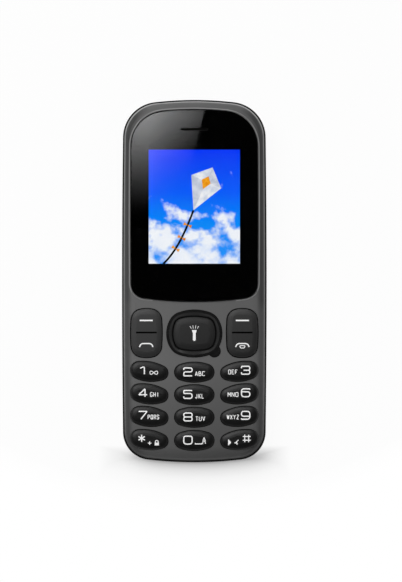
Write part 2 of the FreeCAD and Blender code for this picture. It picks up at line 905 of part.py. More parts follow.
def every_key():
    """Name, row and side of the twelve number keys."""
    names = ("1", "2", "3", "4", "5", "6", "7", "8", "9", "star", "0", "hash")
    for index, word in enumerate(names):
        yield f"key_{word}", index // 3, ("left", "middle", "right")[index % 3]


def dome_places():
    """Plan positions of the contacts under the keys."""
    places = [(f"{KEY_SIDES[side]} * key_column", row_height(row, side)) for _, row, side in every_key()]
    for sign in (-1, 1):
        places += [(f"{sign} * rocker_x", f"rocker_y + {end} * rocker_dome") for end in (-1, 1)]
        places.append((f"{sign} * nav_dome_x", "nav_y"))
        places.append(("0", f"nav_y + {sign} * nav_dome_y"))
    places.append(("0", "nav_y"))
    return places


def screw_places():
    return [(f"{sign} * screw_x", y) for sign in (-1, 1) for y in ("screw_top_y", "screw_low_y")]


# The three parts of the case

def make_front_cover():
    shell = cut(
        "cover_shell",
        common("cover_outside", case_form("cover_form", 0), layer("cover_layer", "front_seam", "case_face")),
        common("cover_inside", case_form("cover_hollow", "cover_wall"),
               layer("cover_hollow_layer", f"front_seam - {PAST}", "plate_under")),
    )
    lip_height = "lip_depth + lip_root"
    lip = cut(
        "cover_lip",
        prism("lip_outer", inset_outline("lip_out"), "front_seam - lip_depth", lip_height),
        prism("lip_inner", inset_outline("lip_out + lip_wall"), f"front_seam - lip_depth - {PAST}",
              f"{lip_height} + 2 * {PAST}"),
    )
    bosses = [
        cylinder(f"cover_boss_{index}", (x, y, "board_top + boss_gap"), "boss_radius",
                 f"plate_under - board_top - boss_gap + {SINK}")
        for index, (x, y) in enumerate(screw_places())
    ]
    tools = [
        prism("lens_rebate", lens_outline(mm("lens_gap")), "ledge_top", THROUGH),
        loft("lens_bevel", [
            (lens_outline(mm("lens_gap")), "case_face - rebate_bevel_drop"),
            (lens_outline(mm("lens_gap + rebate_bevel")), "case_face"),
            (lens_outline(mm("lens_gap + rebate_bevel")), f"case_face + {PAST}"),
        ], ruled=True),
        centred_box("display_window", ("0", "picture_y"), ("window_width", "window_length"),
                    f"plate_under - {PAST}", THROUGH),
        prism("mesh_seat", slot_outline("mesh_border + lens_gap"), "ledge_top - mesh_thick", THROUGH),
        prism("cover_slot", slot_outline("0"), f"plate_under - {PAST}", THROUGH),
    ]
    gap, opening_low = mm("key_gap"), "key_bottom - key_travel - key_gap"
    for name, row, side in every_key():
        tools.append(prism(f"{name}_opening", key_outline(row, side, gap), opening_low, THROUGH))
    for sign in (-1, 1):
        tools.append(prism(f"rocker_opening_{sign + 1}", rocker_outline(sign, gap), opening_low, THROUGH))
    tools.append(prism("nav_opening", nav_outline(gap), opening_low, THROUGH))
    tools.append(cylinder("tail_opening", ("nav_tail_x", "nav_y + nav_tail_y", opening_low),
                          "nav_tail_round + key_gap", THROUGH))
    for index, (x, y) in enumerate(screw_places()):
        tools.append(cylinder(f"boss_bore_{index}", (x, y, f"board_top - {PAST}"),
                              "screw_radius + screw_grip",
                              f"floor_bottom + screw_length + screw_tip_gap - board_top + {PAST}"))
    keep(cut("front_cover", fuse("cover_body", shell, lip, *bosses), *tools), "front_cover")


def slot_outline(grow):
    """The earpiece slot in plan, with round ends."""
    border = mm(grow)
    reach, radius = mm("slot_length / 2") + border, mm("slot_width / 2") + border
    y, flat = mm("earpiece_y"), reach - radius
    right, left = Vector(flat, y, 0), Vector(-flat, y, 0)
    up, out = Vector(0, radius, 0), Vector(radius, 0, 0)
    return [
        Part.LineSegment(left - up, right - up),
        Part.Arc(right - up, right + out, right + up),
        Part.LineSegment(right + up, left + up),
        Part.Arc(left + up, left - out, left - up),
    ]


def make_mid_frame():
    band = cut(
        "band_outside",
        common("band_below_front", case_form("band_form", "-band_proud"),
               layer("band_layer", 0, "front_seam")),
        below_back_seam("band_seam"),
    )
    skirt = common("skirt_solid", case_form("skirt_form", "skirt_out"),
                   layer("skirt_layer", "floor_bottom", "back_seam_side + skirt_root"))
    inner = case_form("frame_hollow", "skirt_in")
    shell = cut(
        "frame_shell",
        fuse("frame_outside", band, skirt),
        common("frame_above_floor", inner, layer("above_floor", "floor_top", f"front_seam + {PAST}")),
        common("frame_below_floor", inner, layer("below_floor", 0, "floor_bottom")),
        prism("lip_room", inset_outline("band_wall"), "front_seam - lip_depth - lip_gap", THROUGH),
    )
    windows = [
        box("sim_window",
            ("-sim_x - sim_width / 2 - part_room", "well_end + well_clear", f"floor_bottom - {PAST}"),
            ("2 * sim_x + sim_width + 2 * part_room",
             "sim_y + sim_length / 2 + part_room - well_end - well_clear", f"floor_thick + 2 * {PAST}")),
        room("camera_room", ("camera_x", "rear_row_y"), ("camera_width", "camera_width")),
        room("torch_room", ("torch_x", "rear_row_y"), ("torch_width", "torch_width")),
        room("aerial_room", ("0", "aerial_y"), ("aerial_width", "aerial_length")),
        room("usb_room", ("usb_x", "usb_back - usb_length / 2"), ("usb_width", "usb_length")),
        room("jack_room", ("jack_x", "jack_front + jack_length / 2"), ("jack_width", "jack_length")),
        room("motor_room", ("motor_x", "motor_front + motor_length / 2 - (weight_gap + weight_length) / 2"),
             ("2 * motor_radius", "motor_length + weight_gap + weight_length")),
    ]
    windows += [
        cylinder(f"speaker_foot_room_{index}", (x, y, f"floor_bottom - {PAST}"),
                 "speaker_foot + speaker_foot_clear", THROUGH)
        for index, (x, y) in enumerate(speaker_feet())
    ]
    plate = cut("frame_plate", shell, *windows)
    inner_size = ("battery_width + 2 * battery_gap", "battery_length + 2 * battery_gap")
    outer_size = tuple(f"{length} + 2 * well_wall" for length in inner_size)
    place = ("0", "battery_y")
    well = cut(
        "battery_well",
        centred_box("well_outside", place, outer_size, "floor_bottom - well_depth", f"well_depth + {SINK}"),
        centred_box("well_inside", place, inner_size, f"floor_bottom - well_depth - {PAST}",
                    f"well_depth + {PAST}"),
        centred_box("well_gate", ("0", "well_end - well_wall / 2"),
                    ("contact_block_width + 2 * gate_clear", f"well_wall + 2 * {SINK}"),
                    f"floor_bottom - well_depth - {PAST}", f"well_depth + {PAST}"),
    )
    rests = screw_places() + [(f"{sign} * post_x", "post_y") for sign in (-1, 1)]
    posts = [
        cylinder(f"post_{index}", (x, y, f"floor_top - {SINK}"), "post_radius",
                 f"board_bottom - floor_top + {SINK}")
        for index, (x, y) in enumerate(rests)
    ]
    holes = [
        cylinder(f"frame_screw_hole_{index}", (x, y, f"floor_bottom - {PAST}"),
                 "screw_radius + screw_clear", THROUGH)
        for index, (x, y) in enumerate(screw_places())
    ]
    holes += [
        cylinder(f"frame_screw_pocket_{index}", (x, y, 0), "screw_head_radius + screw_head_clear",
                 "floor_bottom")
        for index, (x, y) in enumerate(screw_places())
    ]
    holes.append(usb_opening("frame_usb_opening"))
    holes.append(lying_cylinder("frame_jack_hole", ("jack_x", f"jack_front - {OUTSIDE}", "jack_z"),
                                "jack_nose + jack_rim_gap", OUTSIDE))
    holes.append(lying_cylinder("frame_mic_hole", ("mic_x", f"boot_front - {OUTSIDE}", "mic_z"),
                                "mic_hole", OUTSIDE))
    holes.append(lying_cylinder("frame_boot_room", ("mic_x", "boot_front - boot_clear", "mic_z"),
                                "mic_radius + boot_wall + boot_clear", "boot_room_length"))
    keep(cut("mid_frame", fuse("frame_body", plate, well, *posts), *holes), "mid_frame")


def room(name, centre, size):
    """A window through the frame's floor for a piece that hangs from the board."""
    return centred_box(name, centre, tuple(f"{length} + 2 * part_room" for length in size),
                       f"floor_bottom - {PAST}", f"floor_thick + 2 * {PAST}")


def speaker_feet():
    return [
        (f"speaker_x + {sign} * (speaker_width / 2 - speaker_foot_inset)", "speaker_y") for sign in (-1, 1)
    ]


def usb_opening(name):
    """The room through the case for the charging socket, with its lower corners cut off."""
    half, low = mm("usb_opening_width / 2"), mm("usb_z - usb_opening_height / 2")
    high, cut_off = low + mm("usb_opening_height"), mm("usb_corner + usb_wall")
    x = mm("usb_x")
    corners = [
        Vector(x - half + cut_off, low, 0),
        Vector(x + half - cut_off, low, 0),
        Vector(x + half, low + cut_off, 0),
        Vector(x + half, high, 0),
        Vector(x - half, high, 0),
        Vector(x - half, low + cut_off, 0),
    ]
    return along_y(name, corners, f"bottom_end - {PAST}", f"usb_inset + usb_clear + {PAST}")


def along_y(name, corners, start, length):
    """A polygon given in X and Z, drawn along +Y from a start."""
    drawing = document.addObject("Sketcher::SketchObject", f"{name}_outline")
    closed = corners[1:] + corners[:1]
    drawing.addGeometry([Part.LineSegment(here, there) for here, there in zip(corners, closed)], False)
    drawing.Placement = Placement(Vector(0, mm(start), 0), Rotation(Vector(1, 0, 0), 90))
    solid = document.addObject("Part::Extrusion", name)
    solid.Base = drawing
    solid.DirMode = "Normal"
    solid.Reversed = True
    solid.Solid = True
    bind(solid, "LengthFwd", length)
    return solid


def make_back_cover():
    outside = common("back_outside", case_form("back_form", 0), below_back_seam("back_seam"),
                     layer("back_layer", 0, "case_face"))
    hollow = case_form("back_hollow", "back_wall")
    chamber_size = ("speaker_width - 2 * chamber_inset", "speaker_length - 2 * chamber_inset")
    chamber = cut(
        "speaker_chamber",
        centred_box("chamber_outside", ("speaker_x", "speaker_y"), chamber_size, "back_wall / 2",
                    "speaker_bottom - back_wall / 2 - chamber_gap"),
        centred_box("chamber_inside", ("speaker_x", "speaker_y"),
                    tuple(f"{length} - 2 * chamber_wall" for length in chamber_size), 0, "speaker_bottom"),
    )
    seats = []
    tools = [
        lying_cylinder("back_jack_relief", ("jack_x", f"jack_front - {OUTSIDE}", "jack_z"),
                       "jack_nose + jack_relief", OUTSIDE),
        usb_opening("back_usb_opening"),
    ]
    for word, window in (("camera", "camera_window_radius"), ("torch", "torch_lens_radius")):
        below = (f"{word}_x", "rear_row_y", -PAST)
        seats.append(cylinder(f"{word}_seat", (f"{word}_x", "rear_row_y", "back_wall / 2"),
                              f"{window} + seat_wall", "back_wall / 2 + seat_rise"))
        tools.append(cylinder(f"{word}_sink", below, f"{window} + rear_window_clear",
                              f"{PAST} + rear_window_sink + camera_window_thick"))
        tools.append(cylinder(f"{word}_sight", below, f"{window} - window_step", THROUGH))
    for index in range(int(mm("grille_slots"))):
        place = ("speaker_x", f"speaker_y + ({index} - (grille_slots - 1) / 2) * grille_pitch")
        tools.append(centred_box(f"grille_slot_{index}", place, ("grille_slot_length", "grille_slot_width"),
                                 -PAST, THROUGH))
    shell = cut("back_shell", outside, hollow)
    fittings = common("back_fittings", fuse("back_seats", chamber, *seats),
                      case_form("fittings_limit", "back_wall / 2"))
    keep(cut("back_cover", fuse("back_body", shell, fittings), *tools), "back_cover")


# Lens, display and earpiece

def make_screen_lens():
    rounding = mm("lens_edge_round")
    shoulder = rounding * (1 - math.cos(math.pi / 4))
    top = mm("case_face + lens_proud")
    block = loft("lens_block", [
        (lens_outline(0), "lens_under"),
        (lens_outline(0), top - rounding),
        (lens_outline(-shoulder), top - shoulder),
        (lens_outline(-rounding), top),
    ], ruled=True)
    slot = prism("lens_slot", slot_outline("0"), f"lens_under - {PAST}", THROUGH)
    keep(cut("screen_lens", block, slot), "screen_lens")


def make_lens_gasket():
    sheet_block = prism("gasket_block", lens_outline(0), "ledge_top", "gasket_thick")
    window = centred_box("gasket_window", ("0", "picture_y"),
                         ("picture_width + picture_margin", "picture_length + picture_margin"),
                         f"ledge_top - {PAST}", THROUGH)
    slot = prism("gasket_slot", slot_outline("mesh_border"), f"ledge_top - {PAST}", THROUGH)
    keep(cut("lens_gasket", sheet_block, window, slot), "lens_gasket")


def make_display():
    panel = slab("lcd_panel", ("0", "picture_y"), ("panel_width", "panel_length"), "panel_corner",
                 "panel_top - panel_thick", "panel_thick")
    keep(panel, "lcd_panel")
    outer = ("panel_width + 2 * panel_gap + 2 * tray_rim", "panel_length + 2 * panel_gap + 2 * tray_rim")
    inner = ("panel_width + 2 * panel_gap", "panel_length + 2 * panel_gap")
    tray = slab("lcd_backlight", ("0", "picture_y"), outer, "tray_corner", "tray_bottom",
                "panel_thick + tray_floor - tray_wall_drop")
    slab_pocket(tray, "seat", ("0", "picture_y"), inner, "tray_seat_corner", "panel_top - panel_thick",
                "panel_thick", upwards=True)
    keep(tray, "lcd_backlight")
    tray_end = f"picture_y - ({outer[1]}) / 2"
    strip = [
        centred_box("flex_rise", ("0", f"{tray_end} - flex_gap - flex_thick / 2"),
                    ("flex_width", "flex_thick"), "board_top", "tray_bottom + tray_floor - board_top"),
        centred_box("flex_tail", ("0", f"{tray_end} - flex_gap - flex_foot / 2"),
                    ("flex_width", "flex_foot"), "board_top", "flex_thick"),
    ]
    keep(fuse("lcd_flex", *strip), "lcd_flex")


def make_earpiece():
    keep(prism("earpiece_mesh", slot_outline("mesh_border"), "ledge_top - mesh_thick", "mesh_thick"),
         "earpiece_mesh")
    place, size = ("0", "receiver_y"), ("receiver_length", "receiver_width")
    receiver = slab("earpiece_receiver", place, size, "receiver_corner", "plate_under - receiver_thick",
                    "receiver_thick")
    inner = tuple(f"{length} - 2 * receiver_rim" for length in size)
    slab_pocket(receiver, "diaphragm", place, inner, "diaphragm_corner", "plate_under", "diaphragm_depth")
    keep(receiver, "earpiece_receiver")


# Keys

def make_number_keys():
    for name, row, side in every_key():
        cap = pillow(name, lambda grow, row=row, side=side: key_outline(row, side, grow), "key_bottom")
        width = "middle_key_width" if side == "middle" else "outer_key_width"
        y = row_height(row, side)
        if side == "middle":
            bar = centred_box(f"{name}_bar", ("0", y), (f"{width} + 2 * tab_reach", "tab_width"),
                              "key_bottom", "tab_thick")
        else:
            low = "-key_column" if side == "left" else f"key_column - {width} / 2 - tab_reach"
            bar = box(f"{name}_bar", (low, f"{y} - outer_key_skew / 2 - tab_width / 2", "key_bottom"),
                      (f"{width} / 2 + tab_reach", "tab_width", "tab_thick"))
        keep(fuse(name, cap, bar), name)


def make_rockers():
    for side, sign in (("left", -1), ("right", 1)):
        name = f"{side}_rocker_key"
        cap = pillow(name, lambda grow, sign=sign: rocker_outline(sign, grow), "key_bottom")
        bar = box(f"{name}_bar",
                  (f"{sign} * rocker_x - tab_width", "rocker_y - rocker_length / 2 - rocker_tab_reach",
                   "key_bottom"),
                  ("2 * tab_width", "rocker_length + rocker_tab_reach + tab_reach", "tab_thick"))
        groove = centred_box(f"{name}_groove", (f"{sign} * rocker_x", "rocker_y + groove_lift"),
                             ("groove_length", "groove_width"), "key_top - groove_depth", PAST)
        keep(cut(name, fuse(f"{name}_body", cap, bar), groove), name)


def make_navigation():
    tail_place = ("nav_tail_x", "nav_y + nav_tail_y")
    ring_top = "key_top - nav_bead_drop"
    body = fuse(
        "nav_body",
        prism("nav_sides", nav_outline(), "nav_bottom", f"{ring_top} - nav_bottom"),
        cylinder("nav_tail", (*tail_place, "nav_bottom"), "nav_tail_round",
                 f"{ring_top} - nav_bottom - nav_tail_drop"),
        prism("nav_flange_plate", nav_outline(mm("nav_flange")), "nav_bottom", "nav_flange_thick"),
        cylinder("nav_tail_flange", (*tail_place, "nav_bottom"), "nav_tail_round + nav_flange",
                 "nav_flange_thick"),
    )
    bead = mm("nav_bead")
    clear = mm("centre_gap")
    slope = loft("nav_slope", [
        (centre_outline(clear), f"{ring_top} - nav_slope_drop"),
        (nav_outline(-bead), ring_top),
        (nav_outline(-bead), f"{ring_top} + {PAST}"),
    ], ruled=True)
    bore = prism("nav_bore", centre_outline(clear), f"nav_bottom - {PAST}", THROUGH)
    keep(cut("nav_ring", body, slope, bore), "nav_ring")
    plate = cut(
        "nav_spring_plate",
        prism("spring_outside", nav_outline(), "spring_bottom", "spring_thick"),
        prism("spring_inside", centre_outline(mm("spring_clear")), f"spring_bottom - {PAST}", THROUGH),
    )
    keep(plate, "nav_spring_plate")
    cap = pillow("centre_key", centre_outline, "centre_bottom")
    flange = prism("centre_flange_plate", centre_outline(mm("centre_flange")), "centre_bottom",
                   "centre_flange_thick")
    keep(fuse("centre_key", cap, flange), "centre_key")


def make_mat_and_domes():
    outline = prism("mat_outline", inset_outline("mat_inset"), "mat_bottom", "mat_thick")
    lower = box("mat_half", (-FAR, -FAR, "mat_bottom"), (2 * FAR, f"{FAR} + mat_top_edge", "mat_thick"))
    sheet_part = common("mat_sheet", outline, lower)
    recess = prism("mat_recess", nav_outline(mm("nav_recess_margin")), "mat_top - nav_recess", THROUGH)
    pips = [
        cylinder(f"pip_{index}", (x, y, "dome_top + pip_gap"), "pip_radius",
                 f"mat_bottom - dome_top - pip_gap + {SINK}")
        for index, (x, y) in enumerate(dome_places())
    ]
    keep(fuse("keypad_mat", cut("mat_sheet_cut", sheet_part, recess), *pips), "keypad_mat")
    domes = []
    for index, (x, y) in enumerate(dome_places()):
        dome = document.addObject("Part::Cone", f"dome_{index}")
        for axis, place in zip("xyz", (x, y, "board_top")):
            bind(dome, f"Placement.Base.{axis}", place)
        bind(dome, "Radius1", "dome_radius")
        bind(dome, "Radius2", "dome_crown")
        bind(dome, "Height", "dome_height")
        domes.append(dome)
    keep(group("key_domes", domes), "key_domes")


# Main board and what it carries

def make_board():
    plate = prism("board_plate", inset_outline("board_inset"), "board_bottom", "board_thick")
    tools = [
        cylinder(f"board_hole_{index}", (x, y, f"board_bottom - {PAST}"), "screw_radius + board_clear",
                 THROUGH)
        for index, (x, y) in enumerate(screw_places())
    ]
    notch_end = "boot_front + boot_lead + mic_length + mic_back_clear"
    tools.append(box("board_mic_notch", ("mic_x - mic_radius - mic_clear", -FAR, f"board_bottom - {PAST}"),
                     ("2 * mic_radius + 2 * mic_clear", f"{FAR} + {notch_end}", THROUGH)))
    keep(cut("main_board", plate, *tools), "main_board")
    for word in ("radio", "processor"):
        name = f"{word}_shield"
        size = ("can_width", f"{word}_can_length")
        height = "tray_bottom - board_top - can_gap"
        can = slab(name, ("0", f"{word}_can_y"), size, "can_corner", "board_top", height)
        inner = tuple(f"{side} - 2 * can_wall" for side in size)
        slab_pocket(can, "inside", ("0", f"{word}_can_y"), inner, "can_corner - can_wall", "board_top",
                    f"{height} - can_wall", upwards=True)
        keep(can, name)


def card_holder(name, centre, size, height):
    """A folded metal cage under the board, open towards -Y where the card goes in."""
    bottom = f"board_bottom - {height}"
    cage = centred_box(f"{name}_cage", centre, size, bottom, height)
    slot = centred_box(f"{name}_slot", (centre[0], f"{centre[1]} - sim_wall"),
                       (f"{size[0]} - 2 * sim_wall", size[1]), f"{bottom} + sim_wall", "card_slot_thick")
    sight_size = (f"{size[0]} - 2 * sim_sight_side", f"{size[1]} - 2 * sim_sight_end")
    sight = centred_box(f"{name}_sight", centre, sight_size, f"{bottom} - {PAST}", 2 * PAST)
    keep(cut(name, cage, slot, sight), name)


def make_card_holders():
    for number, sign in ((1, -1), (2, 1)):
        card_holder(f"sim_holder_{number}", (f"{sign} * sim_x", "sim_y"), ("sim_width", "sim_length"),
                    "sim_height")


def make_battery():
    name = "battery"
    body = slab(name, ("0", "battery_y"), ("battery_width", "battery_length"), "battery_corner",
                "battery_bottom", "battery_thick")
    document.recompute()
    base = body.Tip
    feature = body.newObject("PartDesign::Fillet", "battery_rounding")
    just_above = mm("battery_bottom") + SINK
    numbered = enumerate(body.Shape.Edges, start=1)
    edges = [f"Edge{index}" for index, edge in numbered if edge.BoundBox.ZMax < just_above]
    feature.Base = (base, edges)
    bind(feature, "Radius", "battery_edge")
    document.recompute()
    keep(body, name)
    block = centred_box("contact_block", ("0", "contact_front + contact_block_length / 2"),
                        ("contact_block_width", "contact_block_length"),
                        "board_bottom - contact_block_height", "contact_block_height")
    blades = [
        centred_box(f"contact_{index}",
                    (f"{index - 1} * contact_pitch", f"contact_front - contact_reach / 2 + {SINK}"),
                    ("contact_width", f"contact_reach + 2 * {SINK}"), "contact_height", "contact_thick")
        for index in range(3)
    ]
    keep(fuse("battery_connector", block, *blades), "battery_connector")


def make_rear_row():
    place = ("camera_x", "rear_row_y")
    block = centred_box("camera_block", place, ("camera_width", "camera_width"),
                        "board_bottom - camera_block_height", "camera_block_height")
    barrel = cylinder("camera_barrel_tube", (*place, "camera_barrel_bottom"), "camera_barrel",
                      f"board_bottom - camera_block_height - camera_barrel_bottom + {SINK}")
    bore = cylinder("camera_pupil", (*place, f"camera_barrel_bottom - {PAST}"), "camera_bore",
                    f"{PAST} + camera_bore_depth")
    keep(cut("camera_module", fuse("camera_body", block, barrel), bore), "camera_module")
    keep(cylinder("camera_window", (*place, "rear_window_sink"), "camera_window_radius",
                  "camera_window_thick"), "camera_window")
    place = ("torch_x", "rear_row_y")
    post = centred_box("torch_post", place, ("torch_width", "torch_width"), "torch_bottom",
                       "board_bottom - torch_bottom")
    chip = cylinder("torch_chip", (*place, "torch_bottom - torch_chip_drop"),
                    "torch_width / 2 - torch_chip_rim", f"torch_chip_drop + {SINK}")
    keep(fuse("torch_led", post, chip), "torch_led")
    keep(cylinder("torch_lens", (*place, "rear_window_sink"), "torch_lens_radius", "camera_window_thick"),
         "torch_lens")


def make_loudspeaker():
    place = ("speaker_x", "speaker_y")
    size, top = ("speaker_width", "speaker_length"), "speaker_bottom + speaker_thick"
    body = slab("loudspeaker", place, size, "speaker_corner", "speaker_bottom", "speaker_thick")
    cone = tuple(f"{length} - 2 * speaker_rim" for length in size)
    slab_pocket(body, "cone", place, cone, "cone_corner", "speaker_bottom", "cone_depth", upwards=True)
    for index, (x, y) in enumerate(speaker_feet()):
        foot = new_sketch(body, f"speaker_foot_{index}", "XY_Plane", (x, y, top))
        draw_circle(foot, "speaker_foot")
        pad(body, f"speaker_foot_pad_{index}", foot, f"board_bottom - ({top})")
    keep(body, "loudspeaker")
    inner_skin = cut("mesh_skin", case_form("mesh_outside", "back_wall + grille_mesh_gap"),
                     case_form("mesh_inside", "back_wall + grille_mesh_gap + grille_mesh_thick"))
    patch = centred_box("mesh_patch", place, ("grille_mesh_width", "grille_mesh_length"), 0, THROUGH)
    keep(common("speaker_mesh", inner_skin, patch), "speaker_mesh")


def make_antenna_carrier():
    keep(centred_box("antenna_carrier", ("0", "aerial_y"), ("aerial_width", "aerial_length"),
                     "aerial_bottom", "board_bottom - aerial_bottom"), "antenna_carrier")


# What sits at the bottom end

def make_sockets():
    half, low = mm("usb_width / 2"), mm("usb_z - usb_height / 2")
    x = mm("usb_x")
    front = "usb_back - usb_length"

    def section(wall):
        inner_half, bottom, top = half - wall, low + wall, low + mm("usb_height") - wall
        bevel = mm("usb_corner") - wall * math.tan(math.pi / 8)
        return [
            Vector(x - inner_half + bevel, bottom, 0),
            Vector(x + inner_half - bevel, bottom, 0),
            Vector(x + inner_half, bottom + bevel, 0),
            Vector(x + inner_half, top, 0),
            Vector(x - inner_half, top, 0),
            Vector(x - inner_half, bottom + bevel, 0),
        ]

    shell = cut(
        "usb_tube",
        common("usb_outside", along_y("usb_block", section(0), front, "usb_length"),
               case_form("usb_limit", "usb_sink")),
        along_y("usb_hollow", section(mm("usb_wall")), f"{front} - {PAST}",
                f"usb_length + {PAST} - usb_wall"),
    )
    leg_low = f"usb_z + usb_height / 2 - {SINK}"
    legs = [
        box(f"usb_leg_{side}_{step}",
            (f"usb_x + {sign} * (usb_width / 2 - usb_leg) - usb_leg / 2",
             f"usb_back - usb_leg - {step} * usb_leg_pitch", leg_low),
            ("usb_leg", "usb_leg", f"board_bottom - ({leg_low})"))
        for side, sign in (("left", -1), ("right", 1)) for step in range(2)
    ]
    keep(fuse("usb_port", shell, *legs), "usb_port")
    keep(centred_box("usb_tongue", ("usb_x", "usb_back - usb_wall - (usb_length - tongue_back) / 2"),
                     ("tongue_width", "usb_length - tongue_back"),
                     "usb_z - tongue_thick / 2 + tongue_lift", "tongue_thick"), "usb_tongue")
    block = box("jack_block", ("jack_x - jack_width / 2", "jack_front", "jack_z - jack_nose"),
                ("jack_width", "jack_length", "board_bottom - jack_z + jack_nose"))
    nose = common(
        "jack_nose_cut",
        lying_cylinder("jack_nose_tube", ("jack_x", f"jack_front - {OUTSIDE}", "jack_z"), "jack_nose",
                       f"{OUTSIDE} + {SINK}"),
        case_form("jack_limit", "jack_sink"),
    )
    bore = lying_cylinder("jack_bore_cut", ("jack_x", f"jack_front - {OUTSIDE}", "jack_z"), "jack_bore",
                          f"{OUTSIDE} + jack_length - jack_end_wall")
    keep(cut("headphone_jack", fuse("jack_body", block, nose), bore), "headphone_jack")


def make_microphone():
    back = "boot_front + boot_lead"
    keep(lying_cylinder("microphone", ("mic_x", back, "mic_z"), "mic_radius", "mic_length"), "microphone")
    sleeve = lying_cylinder("boot_sleeve", ("mic_x", "boot_front", "mic_z"), "mic_radius + boot_wall",
                            "boot_lead + mic_length - mic_stand")
    seat = lying_cylinder("boot_seat", ("mic_x", back, "mic_z"), "mic_radius", f"mic_length + {PAST}")
    lead = lying_cylinder("boot_lead_hole", ("mic_x", f"boot_front - {PAST}", "mic_z"), "mic_hole",
                          f"boot_lead + 2 * {PAST}")
    keep(cut("microphone_boot", sleeve, seat, lead), "microphone_boot")


def make_vibration_motor():
    can = lying_cylinder("motor_can", ("motor_x", "motor_front", "motor_z"), "motor_radius", "motor_length")
    shaft = lying_cylinder("motor_spindle", ("motor_x", "motor_front - shaft_reach", "motor_z"),
                           "motor_shaft", f"shaft_reach + {SINK}")
    saddle = box("motor_saddle", ("motor_x - motor_radius", "motor_front + saddle_inset", "motor_z"),
                 ("2 * motor_radius", "motor_length - 2 * saddle_inset", "motor_drop"))
    keep(fuse("vibration_motor", can, shaft, saddle), "vibration_motor")
    start = "motor_front - weight_gap - weight_length"
    disc = lying_cylinder("weight_disc", ("motor_x", start, "motor_z"), "weight_radius", "weight_length")
    hub = lying_cylinder("weight_hub", ("motor_x", start, "motor_z"), "motor_shaft + hub_wall",
                         "weight_length")
    half = box("weight_half", ("motor_x - weight_radius", start, "motor_z"),
               ("2 * weight_radius", "weight_length", "weight_radius"))
    hole = lying_cylinder("weight_hole", ("motor_x", f"{start} - {PAST}", "motor_z"),
                          "motor_shaft + shaft_clear", f"weight_length + 2 * {PAST}")
    keep(cut("vibration_weight", fuse("weight_body", cut("weight_sector", disc, half), hub), hole),
         "vibration_weight")


def make_screws():
    screws = []
    for index, (x, y) in enumerate(screw_places()):
        head = cylinder(f"screw_head_{index}", (x, y, "floor_bottom - screw_head"), "screw_head_radius",
                        "screw_head")
        shank = cylinder(f"screw_shank_{index}", (x, y, f"floor_bottom - {SINK}"), "screw_radius",
                         f"screw_length + {SINK}")
        arms = ("screw_cross_length", "screw_cross_width")
        bars = [
            centred_box(f"screw_cross_{index}_{turn}", (x, y), size,
                        f"floor_bottom - screw_head - {PAST}", f"{PAST} + screw_recess")
            for turn, size in enumerate((arms, arms[::-1]))
        ]
        screws.append(cut(f"screw_{index}", fuse(f"screw_body_{index}", head, shank), *bars))
    keep(group("housing_screws", screws), "housing_screws")


def check_and_write():
    """Stops on any failed object, then writes each sub-part to its own file."""
    document.recompute()
    for item in document.Objects:
        if "Invalid" in item.State or "Error" in item.State:
            raise ValueError(f"{item.Name} failed: {item.State}")
    os.makedirs("parts", exist_ok=True)
    for item in sub_parts:
        shape = item.Shape
        if shape.isNull() or not shape.isValid() or not shape.Solids:
            raise ValueError(f"{item.Label} has no valid solid")
        shape.exportStep(f"parts/{item.Label}.step")
        print(f"{item.Label}: {len(shape.Solids)} solid, {shape.Volume:.1f} mm3")


make_front_cover()
make_mid_frame()
make_back_cover()
make_screen_lens()
make_lens_gasket()
make_display()
make_earpiece()
make_number_keys()
make_rockers()
make_navigation()
make_mat_and_domes()
make_board()
make_card_holders()
make_battery()
make_rear_row()
make_loudspeaker()
make_antenna_carrier()
make_sockets()
make_microphone()
make_vibration_motor()
make_screws()
check_and_write()
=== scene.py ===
import json
import math

import bmesh
import bpy
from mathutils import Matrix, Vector
from mathutils.bvhtree import BVHTree


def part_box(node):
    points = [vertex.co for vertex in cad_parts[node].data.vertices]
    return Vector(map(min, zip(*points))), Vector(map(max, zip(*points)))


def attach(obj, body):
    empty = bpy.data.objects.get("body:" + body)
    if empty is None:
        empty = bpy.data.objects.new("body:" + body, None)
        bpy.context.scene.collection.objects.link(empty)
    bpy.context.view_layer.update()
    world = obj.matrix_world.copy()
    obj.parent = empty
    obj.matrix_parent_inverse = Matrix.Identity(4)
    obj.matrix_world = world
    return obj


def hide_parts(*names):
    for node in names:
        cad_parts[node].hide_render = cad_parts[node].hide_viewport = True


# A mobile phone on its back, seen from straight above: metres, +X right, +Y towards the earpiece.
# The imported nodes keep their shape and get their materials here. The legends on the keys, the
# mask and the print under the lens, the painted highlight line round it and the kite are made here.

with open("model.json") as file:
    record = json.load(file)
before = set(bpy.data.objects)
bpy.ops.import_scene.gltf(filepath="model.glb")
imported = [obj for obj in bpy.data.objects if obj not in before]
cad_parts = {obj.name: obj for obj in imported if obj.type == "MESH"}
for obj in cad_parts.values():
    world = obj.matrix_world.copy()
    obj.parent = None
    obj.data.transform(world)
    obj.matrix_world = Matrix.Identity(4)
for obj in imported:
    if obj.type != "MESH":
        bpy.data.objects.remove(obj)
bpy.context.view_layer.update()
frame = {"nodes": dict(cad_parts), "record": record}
nodes = frame["nodes"]
body_of_node = {
    node: body for body, members in frame["record"]["behaviour"]["bodies"].items() for node in members
}

MM = 0.001

# The top of the number keys, the height from which rays are sent down on a surface, and a hair's
# thickness, for shapes that lie on another and for telling two levels apart
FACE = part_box("key_1")[1].z
RAY_START = 0.1
HAIR = 0.01 * MM


# Node helpers

def new_material(name):
    """An empty node material with its principled shader."""
    material = bpy.data.materials.new(name)
    material.use_nodes = True
    return material, material.node_tree.nodes["Principled BSDF"]


def set_values(shader, values):
    for socket, value in values.items():
        shader.inputs[socket].default_value = value


def grey(level, blue=1.0):
    return (level, level, level * blue, 1.0)


